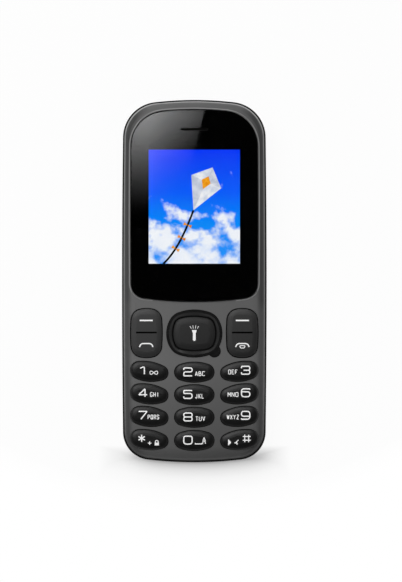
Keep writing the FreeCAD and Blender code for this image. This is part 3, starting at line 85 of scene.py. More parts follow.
def millimetres(tree):
    """The place on the piece, in millimetres."""
    place = tree.nodes.new("ShaderNodeTexCoord")
    scaled = tree.nodes.new("ShaderNodeVectorMath")
    scaled.operation = "SCALE"
    scaled.inputs["Scale"].default_value = 1 / MM
    tree.links.new(place.outputs["Object"], scaled.inputs[0])
    return scaled.outputs["Vector"]


def noise(tree, place, per_mm, detail=3.0, roughness=0.55):
    texture = tree.nodes.new("ShaderNodeTexNoise")
    texture.inputs["Scale"].default_value = per_mm
    texture.inputs["Detail"].default_value = detail
    texture.inputs["Roughness"].default_value = roughness
    tree.links.new(place, texture.inputs["Vector"])
    return texture.outputs["Fac"]


def spread(tree, value, low, high, start=0.3, end=0.7):
    """A value between two levels as the input goes from start to end."""
    ranged = tree.nodes.new("ShaderNodeMapRange")
    ranged.inputs["From Min"].default_value = start
    ranged.inputs["From Max"].default_value = end
    ranged.inputs["To Min"].default_value = low
    ranged.inputs["To Max"].default_value = high
    tree.links.new(value, ranged.inputs["Value"])
    return ranged.outputs["Result"]


def ramp(tree, value, stops):
    """Colours along a value; stops holds (position, colour)."""
    band = tree.nodes.new("ShaderNodeValToRGB")
    elements = band.color_ramp.elements
    while len(elements) < len(stops):
        elements.new(0.5)
    for element, (position, colour) in zip(elements, stops):
        element.position = position
        element.color = colour
    tree.links.new(value, band.inputs["Fac"])
    return band.outputs["Color"]


def maths(tree, operation, *values):
    """A maths node whose inputs are sockets or plain numbers."""
    node = tree.nodes.new("ShaderNodeMath")
    node.operation = operation
    for socket, value in zip(node.inputs, values):
        if isinstance(value, (int, float)):
            socket.default_value = value
        else:
            tree.links.new(value, socket)
    return node.outputs["Value"]


def mix_colours(tree, share, plain, other, blend="MIX"):
    """Two colours mixed by a share; each is a socket or a colour."""
    mixed = tree.nodes.new("ShaderNodeMix")
    mixed.data_type = "RGBA"
    mixed.blend_type = blend
    for name, value in (("Factor", share), ("A", plain), ("B", other)):
        if isinstance(value, bpy.types.NodeSocket):
            tree.links.new(value, mixed.inputs[name])
        else:
            mixed.inputs[name].default_value = value
    return mixed.outputs["Result"]


def axes(tree, vector):
    """The outputs X, Y and Z of a vector."""
    split = tree.nodes.new("ShaderNodeSeparateXYZ")
    tree.links.new(vector, split.inputs["Vector"])
    return split.outputs


def add_bump(tree, shader, height, strength, distance):
    """Raises the surface by a height pattern, distance in metres."""
    bump = tree.nodes.new("ShaderNodeBump")
    bump.inputs["Strength"].default_value = strength
    bump.inputs["Distance"].default_value = distance
    tree.links.new(height, bump.inputs["Height"])
    tree.links.new(bump.outputs["Normal"], shader.inputs["Normal"])


# How many clouds of uneven gloss lie along a millimetre, and how high the grain stands
CLOUDS_PER_MM = 0.35
GRAIN_HEIGHT = 0.02 * MM


def textured(name, dark, light, roughness, grain_per_mm, bump=0.0, specular=0.5, metallic=0.0):
    """A moulded or metal surface: two close colours, uneven gloss and a fine grain."""
    material, shader = new_material(name)
    tree = material.node_tree
    place = millimetres(tree)
    grain = noise(tree, place, grain_per_mm)
    cloud = noise(tree, place, CLOUDS_PER_MM)
    tree.links.new(ramp(tree, grain, ((0.35, dark), (0.65, light))), shader.inputs["Base Color"])
    tree.links.new(spread(tree, cloud, *roughness), shader.inputs["Roughness"])
    if bump:
        add_bump(tree, shader, grain, bump, GRAIN_HEIGHT)
    set_values(shader, {"Specular IOR Level": specular, "Metallic": metallic})
    return material


# Materials of the case

# How far the cover's lip reaches below its seam, where the painted highlight line above the seam fades and
# starts, and its grey levels along the phone, brighter towards the upper end where the light falls
LIP_DEPTH = 0.9
RIM_LINE = (0.9, 1.5)
RIM_FOOT = 0.1
RIM_HIGHLIGHT_TONES = ((-56.0, 0.03), (-49.0, 0.06), (-43.0, 0.13), (-34.0, 0.2), (0.0, 0.24), (38.0, 0.26),
             (54.0, 0.42))

# The cover's painted shade along the phone, darker towards its ends and most at the lower one, and its
# painted light across it, paler to the left, which count on faces that look up
COVER_PAINTED_SHADE = ((-56.0, 0.62), (-46.0, 0.72), (-33.0, 0.86), (-25.0, 0.98), (0.0, 0.96), (50.0, 0.88))
SIDE_PAINTED_LIGHT, SIDE_REACH = (1.03, 0.87), 12.0
UPWARD = (0.3, 0.6)

# The painted shade where the cover rolls over, by how far a face looks up; where it sets in beside the
# middle; how strong it is on the left and the right; and where along the phone it grows to full
ROLL_PAINTED_SHADE = ((0.0, 1.0), (0.35, 1.0), (0.48, 0.45), (0.72, 0.45), (0.95, 1.0))
ROLL_SIDES = (14.0, 18.0)
ROLL_LEAST = (0.85, 0.6)
ROLL_RISE = (-14.0, -6.0)


def cover_plastic():
    """Satin grey with painted light and shade: painted shade where it starts to roll over and towards its
    lower end, paler to the left, and a painted highlight line above the seam.
    """
    material = textured("satin_grey_painted_light", grey(0.128), grey(0.146), (0.44, 0.52), 9.0, bump=0.10, specular=0.06)
    tree = material.node_tree
    shader = tree.nodes["Principled BSDF"]
    plain = shader.inputs["Base Color"].links[0].from_socket
    split = axes(tree, millimetres(tree))
    facing = axes(tree, tree.nodes.new("ShaderNodeTexCoord").outputs["Normal"])
    # Painted shade where the cover rolls over
    rolled = ramp(tree, facing["Z"], [(slope, grey(level)) for slope, level in ROLL_PAINTED_SHADE])
    least = spread(tree, split["X"], *ROLL_LEAST, -SIDE_REACH, SIDE_REACH)
    beside = maths(tree, "MULTIPLY",
                   spread(tree, maths(tree, "ABSOLUTE", split["X"]), 0.0, 1.0, *ROLL_SIDES),
                   maths(tree, "MAXIMUM", least, spread(tree, split["Y"], 0.0, 1.0, *ROLL_RISE)))
    across = spread(tree, split["X"], *SIDE_PAINTED_LIGHT, -SIDE_REACH, SIDE_REACH)
    upward = spread(tree, facing["Z"], 0.0, 1.0, *UPWARD)
    # Painted shade along the phone and painted light across it, on faces that look up
    toned = mix_colours(tree, upward, plain, along_phone(tree, split["Y"], COVER_PAINTED_SHADE), "MULTIPLY")
    toned = mix_colours(tree, upward, toned, across, "MULTIPLY")
    toned = mix_colours(tree, beside, toned, rolled, "MULTIPLY")
    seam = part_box("front_cover")[0].z / MM + LIP_DEPTH
    fading = spread(tree, split["Z"], 1.0, 0.0, seam + RIM_LINE[0], seam + RIM_LINE[1])
    above = spread(tree, split["Z"], 0.0, 1.0, seam - RIM_FOOT, seam)
    line = maths(tree, "MULTIPLY", fading, above)
    # Painted highlight: a brighter line just above the seam
    painted_rim_highlight = mix_colours(tree, line, toned, along_phone(tree, split["Y"], RIM_HIGHLIGHT_TONES))
    tree.links.new(painted_rim_highlight, shader.inputs["Base Color"])
    return material


def along_phone(tree, place, tones):
    """A grey by the place along the phone; tones holds (millimetres, level)."""
    low_end, top_end = tones[0][0], tones[-1][0]
    along = spread(tree, place, 0.0, 1.0, low_end, top_end)
    return ramp(tree, along, [((y - low_end) / (top_end - low_end), grey(level)) for y, level in tones])


def back_plastic():
    """The grey of the removable back, a little glossier than the front."""
    return textured("back_grey", grey(0.115), grey(0.13), (0.42, 0.5), 9.0, bump=0.08, specular=0.14)


def painted_hollow_shade(name):
    """Painted shade: the near black of what is seen deep in a hole of the case."""
    return textured(name, grey(0.004), grey(0.0064), (0.6, 0.7), 8.0, specular=0.1)


def painted_lens_highlight():
    """Painted highlight: a strip round the lens, a shade brighter than the cover."""
    return textured("lens_edge_highlight", grey(0.20), grey(0.24), (0.3, 0.36), 9.0)


def band_plastic():
    return textured("gloss_black", grey(0.003), grey(0.005), (0.16, 0.22), 5.0, bump=0.02, specular=0.2)


# Materials of the keys

# The large keys' painted light along a line from the lower right to the upper left, paler where the light
# falls: where it starts and ends, how much the line leans, and the greys
SLANT_REACH, SLANT_LEAN = (-31.0, 0.0), 0.5
SLANT_PAINTED_LIGHT = ((0.0, grey(0.002)), (1.0, grey(0.024)))


def key_plastic():
    return textured("key_black", grey(0.003), grey(0.005), (0.36, 0.42), 7.0, bump=0.04, specular=0.32)


def rocker_plastic(shine):
    """The two-way keys and the middle key, duller than the number keys, with painted light that makes them
    paler to the upper left.
    """
    material = textured("rocker_black", grey(0.9), grey(1.0), (0.5, 0.56), 7.0, bump=0.04, specular=shine)
    tree = material.node_tree
    shader = tree.nodes["Principled BSDF"]
    grain = shader.inputs["Base Color"].links[0].from_socket
    split = axes(tree, millimetres(tree))
    slant = maths(tree, "SUBTRACT", split["Y"], maths(tree, "MULTIPLY", split["X"], SLANT_LEAN))
    # Painted light: paler towards the upper left
    tone = ramp(tree, spread(tree, slant, 0.0, 1.0, *SLANT_REACH), SLANT_PAINTED_LIGHT)
    tree.links.new(mix_colours(tree, 1.0, tone, grain, "MULTIPLY"), shader.inputs["Base Color"])
    return material


def groove_shade():
    """Painted shade for the bottom of the groove across a two-way key and for the key's outline."""
    return textured("groove_painted_shade", grey(0.0005), grey(0.0015), (0.7, 0.8), 7.0, specular=0.0)


def ring_gloss():
    return textured("ring_black", grey(0.003), grey(0.005), (0.22, 0.28), 5.0, bump=0.01, specular=0.35)


# Materials of the lens, the inside and the metal pieces

def clear_plastic(name, tint):
    """See-through plastic, faintly tinted and smeared."""
    material, shader = new_material(name)
    tree = material.node_tree
    place = millimetres(tree)
    smear = noise(tree, place, 0.25, detail=4.0)
    tree.links.new(spread(tree, smear, 0.0, 0.03), shader.inputs["Roughness"])
    tree.links.new(ramp(tree, smear, ((0.3, tint), (0.7, grey(1.0)))), shader.inputs["Base Color"])
    set_values(shader, {"Transmission Weight": 1.0, "IOR": 1.49})
    return material


def mask_black():
    return textured("mask_black", grey(0.0004), grey(0.0012), (0.5, 0.6), 4.0, specular=0.0)


def steel(name, dark, light, roughness):
    return textured(name, grey(dark), grey(light, 0.97), roughness, 14.0, bump=0.08, metallic=1.0)


# How many holes of the metal cloth lie along a millimetre, and the depth of its weave
HOLES_PER_MM = 4.5
WEAVE_DEPTH = 0.05 * MM


def woven_mesh():
    """Fine metal cloth: round holes in a staggered grid."""
    material, shader = new_material("woven_mesh")
    tree = material.node_tree
    place = millimetres(tree)
    holes = tree.nodes.new("ShaderNodeTexVoronoi")
    holes.inputs["Scale"].default_value = HOLES_PER_MM
    holes.inputs["Randomness"].default_value = 0.08
    tree.links.new(place, holes.inputs["Vector"])
    depth = spread(tree, holes.outputs["Distance"], 0.0, 1.0, 0.25, 0.4)
    tree.links.new(ramp(tree, depth, ((0.0, grey(0.02)), (1.0, grey(0.001)))), shader.inputs["Base Color"])
    tree.links.new(spread(tree, noise(tree, place, 8.0), 0.3, 0.45), shader.inputs["Roughness"])
    add_bump(tree, shader, depth, 0.6, WEAVE_DEPTH)
    set_values(shader, {"Metallic": 0.8})
    return material


# The board's tracks: how close they lie, how much they wander, and their two greens
TRACKS_PER_MM, TRACK_WANDER = 1.4, 7.0
TRACK_COLOURS = ((0.45, (0.006, 0.055, 0.02, 1.0)), (0.55, (0.012, 0.11, 0.04, 1.0)))


def board_green():
    """Solder mask with fine tracks."""
    material, shader = new_material("board_green")
    tree = material.node_tree
    place = millimetres(tree)
    tracks = tree.nodes.new("ShaderNodeTexWave")
    tracks.inputs["Scale"].default_value = TRACKS_PER_MM
    tracks.inputs["Distortion"].default_value = TRACK_WANDER
    tracks.inputs["Detail"].default_value = 1.0
    tree.links.new(place, tracks.inputs["Vector"])
    tree.links.new(ramp(tree, tracks.outputs["Fac"], TRACK_COLOURS), shader.inputs["Base Color"])
    tree.links.new(spread(tree, noise(tree, place, 2.0), 0.25, 0.38), shader.inputs["Roughness"])
    add_bump(tree, shader, tracks.outputs["Fac"], 0.3, GRAIN_HEIGHT)
    return material


# The lit part of the display, in millimetres
PICTURE_WIDTH = 28.0
PICTURE_LENGTH = 35.0

# The picture's sky from the bottom to the top, the size and colours of its puffs of cloud, how
# they thin out upwards, and from which strength to which a puff covers the sky
SKY_COLOURS = (
    (0.0, (0.02, 0.30, 1.0, 1.0)), (0.35, (0.0, 0.26, 1.0, 1.0)),
    (0.62, (0.0, 0.11, 1.0, 1.0)), (1.0, (0.0, 0.035, 0.95, 1.0)),
)
PUFFS_PER_MM = 0.16
PUFF_COLOURS = ((0.3, (0.42, 0.62, 1.0, 1.0)), (0.55, (0.93, 0.96, 1.0, 1.0)))
PUFF_LOSS, PUFF_LOSS_RISE = 0.34, (0.12, 0.72)
PUFF_COVER = (0.33, 0.47)


def display_middle():
    """The middle of the display along the phone, in millimetres."""
    low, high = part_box("lcd_panel")
    return (low.y + high.y) / 2 / MM


def picture(tree, place):
    """A sky with clouds, as the display shows it: deep blue above, cloudy below."""
    half = PICTURE_LENGTH / 2
    along = axes(tree, place)["Y"]
    rise = spread(tree, along, 0.0, 1.0, display_middle() - half, display_middle() + half)
    puffs = noise(tree, place, PUFFS_PER_MM, detail=6.0, roughness=0.52)
    thinned = maths(tree, "SUBTRACT", puffs, spread(tree, rise, 0.0, PUFF_LOSS, *PUFF_LOSS_RISE))
    cover = spread(tree, thinned, 0.0, 1.0, *PUFF_COVER)
    return mix_colours(tree, cover, ramp(tree, rise, SKY_COLOURS), ramp(tree, puffs, PUFF_COLOURS))


def inside_picture(tree, place):
    """One inside the lit part of the display, nought outside."""
    split = axes(tree, place)
    across = maths(tree, "COMPARE", split["X"], 0.0, PICTURE_WIDTH / 2)
    along = maths(tree, "COMPARE", split["Y"], display_middle(), PICTURE_LENGTH / 2)
    return maths(tree, "MULTIPLY", across, along)


def display():
    material, shader = new_material("display_glass")
    tree = material.node_tree
    place = millimetres(tree)
    tree.links.new(picture(tree, place), shader.inputs["Emission Color"])
    tree.links.new(inside_picture(tree, place), shader.inputs["Emission Strength"])
    tree.links.new(spread(tree, noise(tree, place, 3.0), 0.3, 0.36), shader.inputs["Roughness"])
    set_values(shader, {"Base Color": grey(0.002), "Specular IOR Level": 0.2})
    return material


# What makes the material of each slot
SLOT_MATERIALS = {
    "cover_plastic": cover_plastic,
    "band_plastic": band_plastic,
    "lens_clear": lambda: clear_plastic("lens_clear", (0.94, 0.96, 1.0, 1.0)),
    "mask_black": mask_black,
    "display": display,
    "tray_white": lambda: textured("tray_white", grey(0.62), grey(0.7), (0.45, 0.55), 4.0, bump=0.03),
    "flex_film": lambda: textured(
        "flex_film", (0.32, 0.12, 0.02, 1), (0.42, 0.17, 0.03, 1), (0.2, 0.3), 3.0),
    "mesh_steel": woven_mesh,
    "driver_black": lambda: textured("driver_black", grey(0.01), grey(0.02), (0.4, 0.5), 6.0, bump=0.05),
    "key_plastic": key_plastic,
    "ring_gloss": ring_gloss,
    "plain_steel": lambda: steel("plain_steel", 0.42, 0.55, (0.24, 0.34)),
    "mat_rubber": lambda: textured("mat_rubber", grey(0.28), grey(0.36), (0.6, 0.7), 6.0, bump=0.08),
    "board_green": board_green,
    "battery_case": lambda: textured(
        "battery_case", grey(0.05), grey(0.07, 1.1), (0.35, 0.45), 5.0, bump=0.04),
    "connector_black": lambda: textured(
        "connector_black", grey(0.012), grey(0.02), (0.3, 0.42), 6.0, bump=0.04),
    "window_clear": lambda: clear_plastic("window_clear", (0.8, 0.82, 0.86, 1.0)),
    "led_white": lambda: textured(
        "led_white", (0.62, 0.6, 0.42, 1), (0.75, 0.73, 0.55, 1), (0.4, 0.5), 3.0),
    "weight_metal": lambda: steel("weight_metal", 0.22, 0.3, (0.35, 0.45)),
    "screw_steel": lambda: steel("screw_steel", 0.10, 0.16, (0.3, 0.4)),
}


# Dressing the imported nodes

def dress(node, *materials):
    """Gives a node these materials in place of what it has."""
    slots = nodes[node].data.materials
    slots.clear()
    for material in materials:
        slots.append(material)


def dress_nodes():
    """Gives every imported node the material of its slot."""
    made = {}
    for part in frame["record"]["subparts"]:
        slot = part["material_slot"]
        if slot not in made:
            made[slot] = SLOT_MATERIALS[slot]()
        dress(part["node"], made[slot])


def dress_case():
    """Gives the back its gloss, and what lies in the holes of the lower end a painted shade, darker than
    its own colour.
    """
    dress("back_cover", back_plastic())
    dress("usb_port", steel("port_steel_painted_shade", 0.05, 0.09, (0.45, 0.55)))
    dress("microphone_boot", painted_hollow_shade("boot_painted_shade"))
    dress("microphone", painted_hollow_shade("microphone_painted_shade"))


# The gloss of the two-way keys and of the middle key
ROCKER_SHINE, CENTRE_SHINE = 0.55, 0.32

# Half the width and half the length of the groove across a two-way key, and where its faces lie
# below the key's top
GROOVE_HALF, GROOVE_REACH = 0.6 * MM, 3.2 * MM
GROOVE_DEEP, GROOVE_SHALLOW = 0.5 * MM, 0.04 * MM

# The painted shade round the outline of a two-way key: faces steeper than this, this far below its top
OUTLINE_SLOPE, OUTLINE_DEEP = 0.82, 1.2 * MM


def dress_rockers():
    """Gives the large keys their duller plastic, and the two-way ones painted shade in their groove and
    round their outline.
    """
    plastic, shade = rocker_plastic(ROCKER_SHINE), groove_shade()
    dress("centre_key", rocker_plastic(CENTRE_SHINE))
    for name in ("left_rocker_key", "right_rocker_key"):
        low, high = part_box(name)
        middle = (low + high) / 2
        dress(name, plastic, shade)
        for face in nodes[name].data.polygons:
            centre = face.center
            across = abs(centre.y - middle.y) < GROOVE_HALF and abs(centre.x - middle.x) < GROOVE_REACH
            in_groove = across and high.z - GROOVE_DEEP < centre.z < high.z - GROOVE_SHALLOW
            # Painted shade in the groove and round the key's outline
            if in_groove or (0 < face.normal.z < OUTLINE_SLOPE and centre.z > high.z - OUTLINE_DEEP):
                face.material_index = 1


# Faces of the lens that are steeper than this are its walls
LENS_WALL_SLOPE = 0.9


def dress_lens():
    """Blackens the walls of the lens: partly the print under it, partly painted shade for the shade of its
    seat.
    """
    lens = nodes["screen_lens"].data
    lens.materials.append(textured(
        "lens_wall_black", grey(0.001), grey(0.002), (0.3, 0.4), 6.0, specular=0.12))
    for face in lens.polygons:
        if abs(face.normal.z) < LENS_WALL_SLOPE:
            face.material_index = 1


# Making pieces

def add_object(name, data):
    item = bpy.data.objects.new(name, data)
    bpy.context.scene.collection.objects.link(item)
    return item


def mesh_object(mesh, name, material):
    """Turns a bmesh into an object of one material."""
    data = bpy.data.meshes.new(name)
    mesh.to_mesh(data)
    mesh.free()
    data.materials.append(material)
    return add_object(name, data)


def finished(mesh, name, material, body):
    """Turns a bmesh into a piece that rides on a body."""
    bmesh.ops.recalc_face_normals(mesh, faces=mesh.faces)
    piece = mesh_object(mesh, name, material)
    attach(piece, body)
    return piece


def surface_of(node):
    """The faces of a node, for rays to meet."""
    data = nodes[node].data
    corners = [vertex.co for vertex in data.vertices]
    return BVHTree.FromPolygons(corners, [face.vertices for face in data.polygons])


def met_from_above(surface, point):
    """Where a ray straight down at a place in plan, in millimetres, meets the surface, or None."""
    start = Vector((point.x * MM, point.y * MM, RAY_START))
    return surface.ray_cast(start, Vector((0, 0, -1)))[0]


# Lines in plan, in millimetres

# How far apart the points of a line may be, and the places along a corner's arc
STEP = 0.25
ARC_SHARES = (0.0, 0.2, 0.4, 0.6, 0.8, 1.0)

# Points closer than this are one
SAME = 1e-6


def rounded(points, radius):
    """A stroke with its inner corners turned into arcs."""
    if len(points) < 3 or radius <= 0:
        return points
    closed = (points[0] - points[-1]).length < SAME
    path = [points[0]]
    for before, corner, after in zip(points, points[1:], points[2:]):
        reach = min(radius, (before - corner).length / 2, (after - corner).length / 2)
        start = corner + (before - corner).normalized() * reach
        end = corner + (after - corner).normalized() * reach
        for share in ARC_SHARES:
            path.append(start.lerp(corner, share).lerp(corner.lerp(end, share), share))
    path.append(points[0] if closed else points[-1])
    return path


def stepped(path):
    """The line with points at most STEP apart, so that it can follow a curved surface."""
    points = [path[0]]
    for start, end in zip(path, path[1:]):
        length = (end - start).length
        if length < SAME:
            continue
        count = max(1, math.ceil(length / STEP))
        points += [start.lerp(end, index / count) for index in range(1, count + 1)]
    return points


def edges_of(path, width):
    """The left and right edge of a stroke of one width."""
    closed = (path[0] - path[-1]).length < SAME
    left, right = [], []
    last = len(path) - 1
    for index, point in enumerate(path):
        before = path[index - 1] if index else (path[-2] if closed else point)
        after = path[index + 1] if index < last else (path[1] if closed else point)
        along = (after - before).normalized()
        side = Vector((-along.y, along.x)) * width / 2
        left.append(point + side)
        right.append(point - side)
    return left, right


# The mask and the print under the lens

# The mask's thickness as a share of its node's
MASK_THIN = 0.7

# The print round the earpiece slot: half its length and width, inside and outside, how far below
# the lens its two faces lie, and the points of each of its rings
SLOT_PRINT_INNER = (4.15, 0.38)
SLOT_PRINT_OUTER = (4.85, 1.08)
SLOT_PRINT_DEPTHS = (0.03 * MM, 0.13 * MM)
SLOT_PRINT_POINTS = 48


def lower_mask():
    """The black mask, a hair thinner than its node so that it lies clear of the lens."""
    low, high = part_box("lens_gasket")
    mask = add_object("lens_mask", nodes["lens_gasket"].data.copy())
    middle = (low.z + high.z) / 2
    for vertex in mask.data.vertices:
        vertex.co.z = middle + (vertex.co.z - middle) * MASK_THIN
    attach(mask, "housing")
    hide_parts("lens_gasket")


def add_slot_print():
    """The black print under the lens round the earpiece slot."""
    low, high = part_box("earpiece_mesh")
    lens_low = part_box("screen_lens")[0].z
    y = (low.y + high.y) / 2
    mesh = bmesh.new()
    rings = []
    for half_length, half_width in (SLOT_PRINT_INNER, SLOT_PRINT_OUTER):
        flat, radius = (half_length - half_width) * MM, half_width * MM
        ring = []
        for step in range(SLOT_PRINT_POINTS):
            turn = step / SLOT_PRINT_POINTS * 2 * math.pi
            side = math.copysign(flat, math.cos(turn))
            ring.append((side + radius * math.cos(turn), y + radius * math.sin(turn)))
        rings.append(ring)
    (top_in, top_out), (low_in, low_out) = (
        [[mesh.verts.new((*point, lens_low - depth)) for point in ring] for ring in rings]
        for depth in SLOT_PRINT_DEPTHS)
    for index in range(SLOT_PRINT_POINTS):
        after = (index + 1) % SLOT_PRINT_POINTS
        for one, other in ((top_in, top_out), (low_out, low_in), (top_out, low_out), (low_in, top_in)):
            mesh.faces.new((one[index], one[after], other[after], other[index]))
    finished(mesh, "slot_print", mask_black(), "housing")


# The painted highlight line on the cover beside the lens

# How far from the lens the line starts and ends, how high it stands and how deep it goes into
# the cover, and the part of the lens's lower edge that has none, in millimetres
LENS_LINE = (0.17, 0.52)
LENS_LINE_RISE = 0.05
LENS_LINE_SINK = 0.15
BARE_HALF, BARE_RISE = 12.5, 5.0

# A corner of the lens is on its outline, and not round the earpiece slot, where it lies beside
# the slot's print or at least this share of the lens's length from the middle
END_SHARE = 0.49


def lens_edge():
    """The lens's outline in plan, in millimetres, anticlockwise and closed."""
    low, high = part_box("screen_lens")
    middle = (low + high) / 2
    corners = {(round(vertex.co.x, 6), round(vertex.co.y, 6))
               for vertex in nodes["screen_lens"].data.vertices if vertex.co.z < low.z + HAIR}
    outer = [(math.atan2(y - middle.y, x - middle.x), x, y) for x, y in corners
             if abs(x) > SLOT_PRINT_OUTER[0] * MM or abs(y - middle.y) > END_SHARE * (high.y - low.y)]
    ring = [Vector((x / MM, y / MM)) for _, x, y in sorted(outer)]
    return stepped(ring + ring[:1])


def add_lens_line():
    """A painted highlight line on the cover round the lens, missing along most of the lower edge."""
    surface = surface_of("front_cover")
    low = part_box("screen_lens")[0].y / MM
    path = lens_edge()
    inner, outer = (edges_of(path, 2 * reach)[1][:-1] for reach in LENS_LINE)
    rows = []
    for pair in zip(inner, outer):
        bare = abs(pair[0].x) < BARE_HALF and pair[0].y < low + BARE_RISE
        row = [met_from_above(surface, point) for point in pair]
        rows.append(None if bare or None in row else row)
    mesh = bmesh.new()
    moves = (Vector((0, 0, LENS_LINE_RISE * MM)), Vector((0, 0, -LENS_LINE_SINK * MM)))
    made = [row and [mesh.verts.new(point + move) for point in row for move in moves] for row in rows]
    for row, after in zip(made, made[1:] + made[:1]):
        if row and after:
            for one, other in ((0, 2), (2, 3), (3, 1), (1, 0)):
                mesh.faces.new((row[one], row[other], after[other], after[one]))
        elif row or after:
            end = row or after
            mesh.faces.new((end[0], end[1], end[3], end[2]))
    # Painted highlight round the lens
    piece = finished(mesh, "lens_line", painted_lens_highlight(), "housing")


# Legends on the keys, made of strokes that lie on the keys

# Each glyph is drawn on a grid of 4 by 8: strokes are parted by spaces, points by dashes,
# and a point is its column and its row from the lower left.
GLYPHS = {
    "0": "28-48-40-00-08-28",
    "1": "16-38-30",
    "2": "06-08-48-44-04-00 00-40",
    "3": "06-08-48-44-14 14-44-40-00-02",
    "4": "30-38 38-02 02-42",
    "5": "48-08 08-05 05-45-40-00-02",
    "6": "47-48-08-00-40-45-05",
    "7": "08-48 48-10",
    "8": "28-48-44-04-08-28 24-44-40-00-04-24",
    "9": "01-00-40-48-08-03-43",
    "*": "20-28 02-46 06-42",
    "#": "10-18 30-38 02-42 06-46",
    "+": "04-44 20-28",
    "A": "00-28 28-40 12-32",
    "B": "00-08 08-38-34-04 04-44-40-00",
    "C": "47-48-08-00-40-41",
    "D": "00-08 08-48-40-00",
    "E": "48-08 08-00 00-40 04-34",
    "F": "48-08 08-00 04-34",
    "G": "47-48-08-00-40-43 43-23",
    "H": "00-08 40-48 04-44",
    "I": "20-28",
    "J": "38-30-00-02",
    "K": "00-08 48-04 14-40",
    "L": "08-00 00-40",
    "M": "00-08 08-23 23-48 48-40",
    "N": "00-08 08-40 40-48",
    "O": "28-48-40-00-08-28",
    "P": "00-08 08-48-44-04",
    "Q": "28-48-40-00-08-28 22-40",
    "R": "00-08 08-48-44-04 24-40",
    "S": "46-48-08-04-44-40-00-02",
    "T": "08-48 28-20",
    "U": "08-00-40-48",
    "V": "08-20 20-48",
    "W": "08-10 10-26 26-30 30-48",
    "X": "00-48 08-40",
    "Y": "08-24 48-24 24-20",
    "Z": "08-48 48-00 00-40",
}

# Width and height of a digit, its stroke, and the share of its width that its corners round off
DIGIT_SIZE = (2.55, 2.42)
DIGIT_STROKE = 0.36
CORNER_SHARE = 0.34

# The small capitals: height, stroke, gap between two of them in strokes, and how narrow an I is
LETTER_HEIGHT = 1.25
LETTER_STROKE = 0.21
LETTER_GAP = 1.9
NARROW = 0.2

# How high the paint stands on the key and how deep it goes, and the step by which each stroke
# lies above the one before it
LEGEND_RISE = 0.025 * MM
LEGEND_SINK = 0.04 * MM
STROKE_LIFT = 0.001 * MM


class Legend:
    """Strokes gathered for one key, then laid on its surface as one piece."""

    def __init__(self, node):
        self.node = node
        self.strokes = []

    def line(self, points, width, radius=0.0):
        self.strokes.append((stepped(rounded([Vector(point) for point in points], radius)), width))

    def glyph(self, letter, x, y, size, width):
        for stroke in GLYPHS[letter].split():
            places = [(x + int(column) / 4 * size[0], y + int(row) / 8 * size[1])
                      for column, row in stroke.split("-")]
            self.line(places, width, size[0] * CORNER_SHARE)

    def digit(self, letter, x, y):
        self.glyph(letter, x, y, DIGIT_SIZE, DIGIT_STROKE)

    def word(self, letters, start, end, y):
        """Small capitals between two places."""
        pitch = (end - start) / len(letters)
        width = pitch - LETTER_STROKE * LETTER_GAP
        for index, letter in enumerate(letters):
            share = NARROW if letter == "I" else 1.0
            self.glyph(letter, start + LETTER_STROKE / 2 + index * pitch + width * (1 - share) / 2, y,
                       (width * share, LETTER_HEIGHT), LETTER_STROKE)

    def lay(self, material):
        """Makes the strokes' mesh on the key's surface and lets it ride with the key."""
        surface = surface_of(self.node)
        mesh = bmesh.new()
        for order, (path, width) in enumerate(self.strokes):
            lift = LEGEND_RISE + order * STROKE_LIFT
            rows = []
            for pair in zip(*edges_of(path, width)):
                row = []
                for point in pair:
                    hit = met_from_above(surface, point)
                    height = hit.z if hit else FACE
                    row.append(mesh.verts.new((point.x * MM, point.y * MM, height + lift)))
                    row.append(mesh.verts.new((point.x * MM, point.y * MM, height - LEGEND_SINK)))
                rows.append(row)
            for (up_l, low_l, up_r, low_r), (next_ul, next_ll, next_ur, next_lr) in zip(rows, rows[1:]):
                mesh.faces.new((up_l, up_r, next_ur, next_ul))
                mesh.faces.new((low_l, next_ll, next_lr, low_r))
                mesh.faces.new((up_l, next_ul, next_ll, low_l))
                mesh.faces.new((up_r, low_r, next_lr, next_ur))
            for up_l, low_l, up_r, low_r in (rows[0], rows[-1]):
                mesh.faces.new((up_l, low_l, low_r, up_r))
        finished(mesh, f"legend_{self.node}", material, body_of_node[self.node])


# Where the digits of each column start, and how far from the middle the side columns begin
DIGIT_STARTS = {"left": -17.0, "middle": -3.22, "right": 14.45}
SIDE_COLUMNS = 5.0

# How far a digit's middle lies above its key's, in the middle column and in the side ones
DIGIT_LIFT = {"left": 0.35, "middle": 0.1, "right": 0.35}

# The plain number keys: the digit, the letters, and the places across the phone between which the
# letters stand; and how far these stand above the digit's foot
KEY_WORDS = {
    "key_2": ("2", "ABC", 0.2, 3.45),
    "key_3": ("3", "DEF", 10.4, 13.45),
    "key_4": ("4", "GHI", -13.55, -10.6),
    "key_5": ("5", "JKL", 0.3, 3.15),
    "key_6": ("6", "MNO", 10.2, 13.7),
    "key_7": ("7", "PQRS", -14.3, -10.6),
    "key_8": ("8", "TUV", 0.35, 3.5),
    "key_9": ("9", "WXYZ", 9.95, 13.9),
}
WORD_LIFT = 0.05


def key_middle(node):
    low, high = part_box(node)
    return (low + high) / 2 / MM


def column_of(x):
    return "left" if x < -SIDE_COLUMNS else "right" if x > SIDE_COLUMNS else "middle"


def write_plain(legend, start, base):
    """A digit and its letters."""
    digit, letters, left, right = KEY_WORDS[legend.node]
    legend.digit(digit, start, base)
    legend.word(letters, left, right, base + WORD_LIFT)


def write_one(legend, start, base):
    """The digit and a sign of two loops."""
    legend.digit("1", start - 0.2, base)
    add_infinity(legend, start + 4.6, base + 0.45)


def write_star(legend, start, base):
    """The star, a small cross and a padlock."""
    legend.glyph("*", start - 0.1, base + 0.2, (1.95, 2.15), DIGIT_STROKE)
    legend.glyph("+", start + 2.8, base - 0.75, (1.05, 1.05), 0.27)
    add_padlock(legend, start + 5.5, base - 0.9)


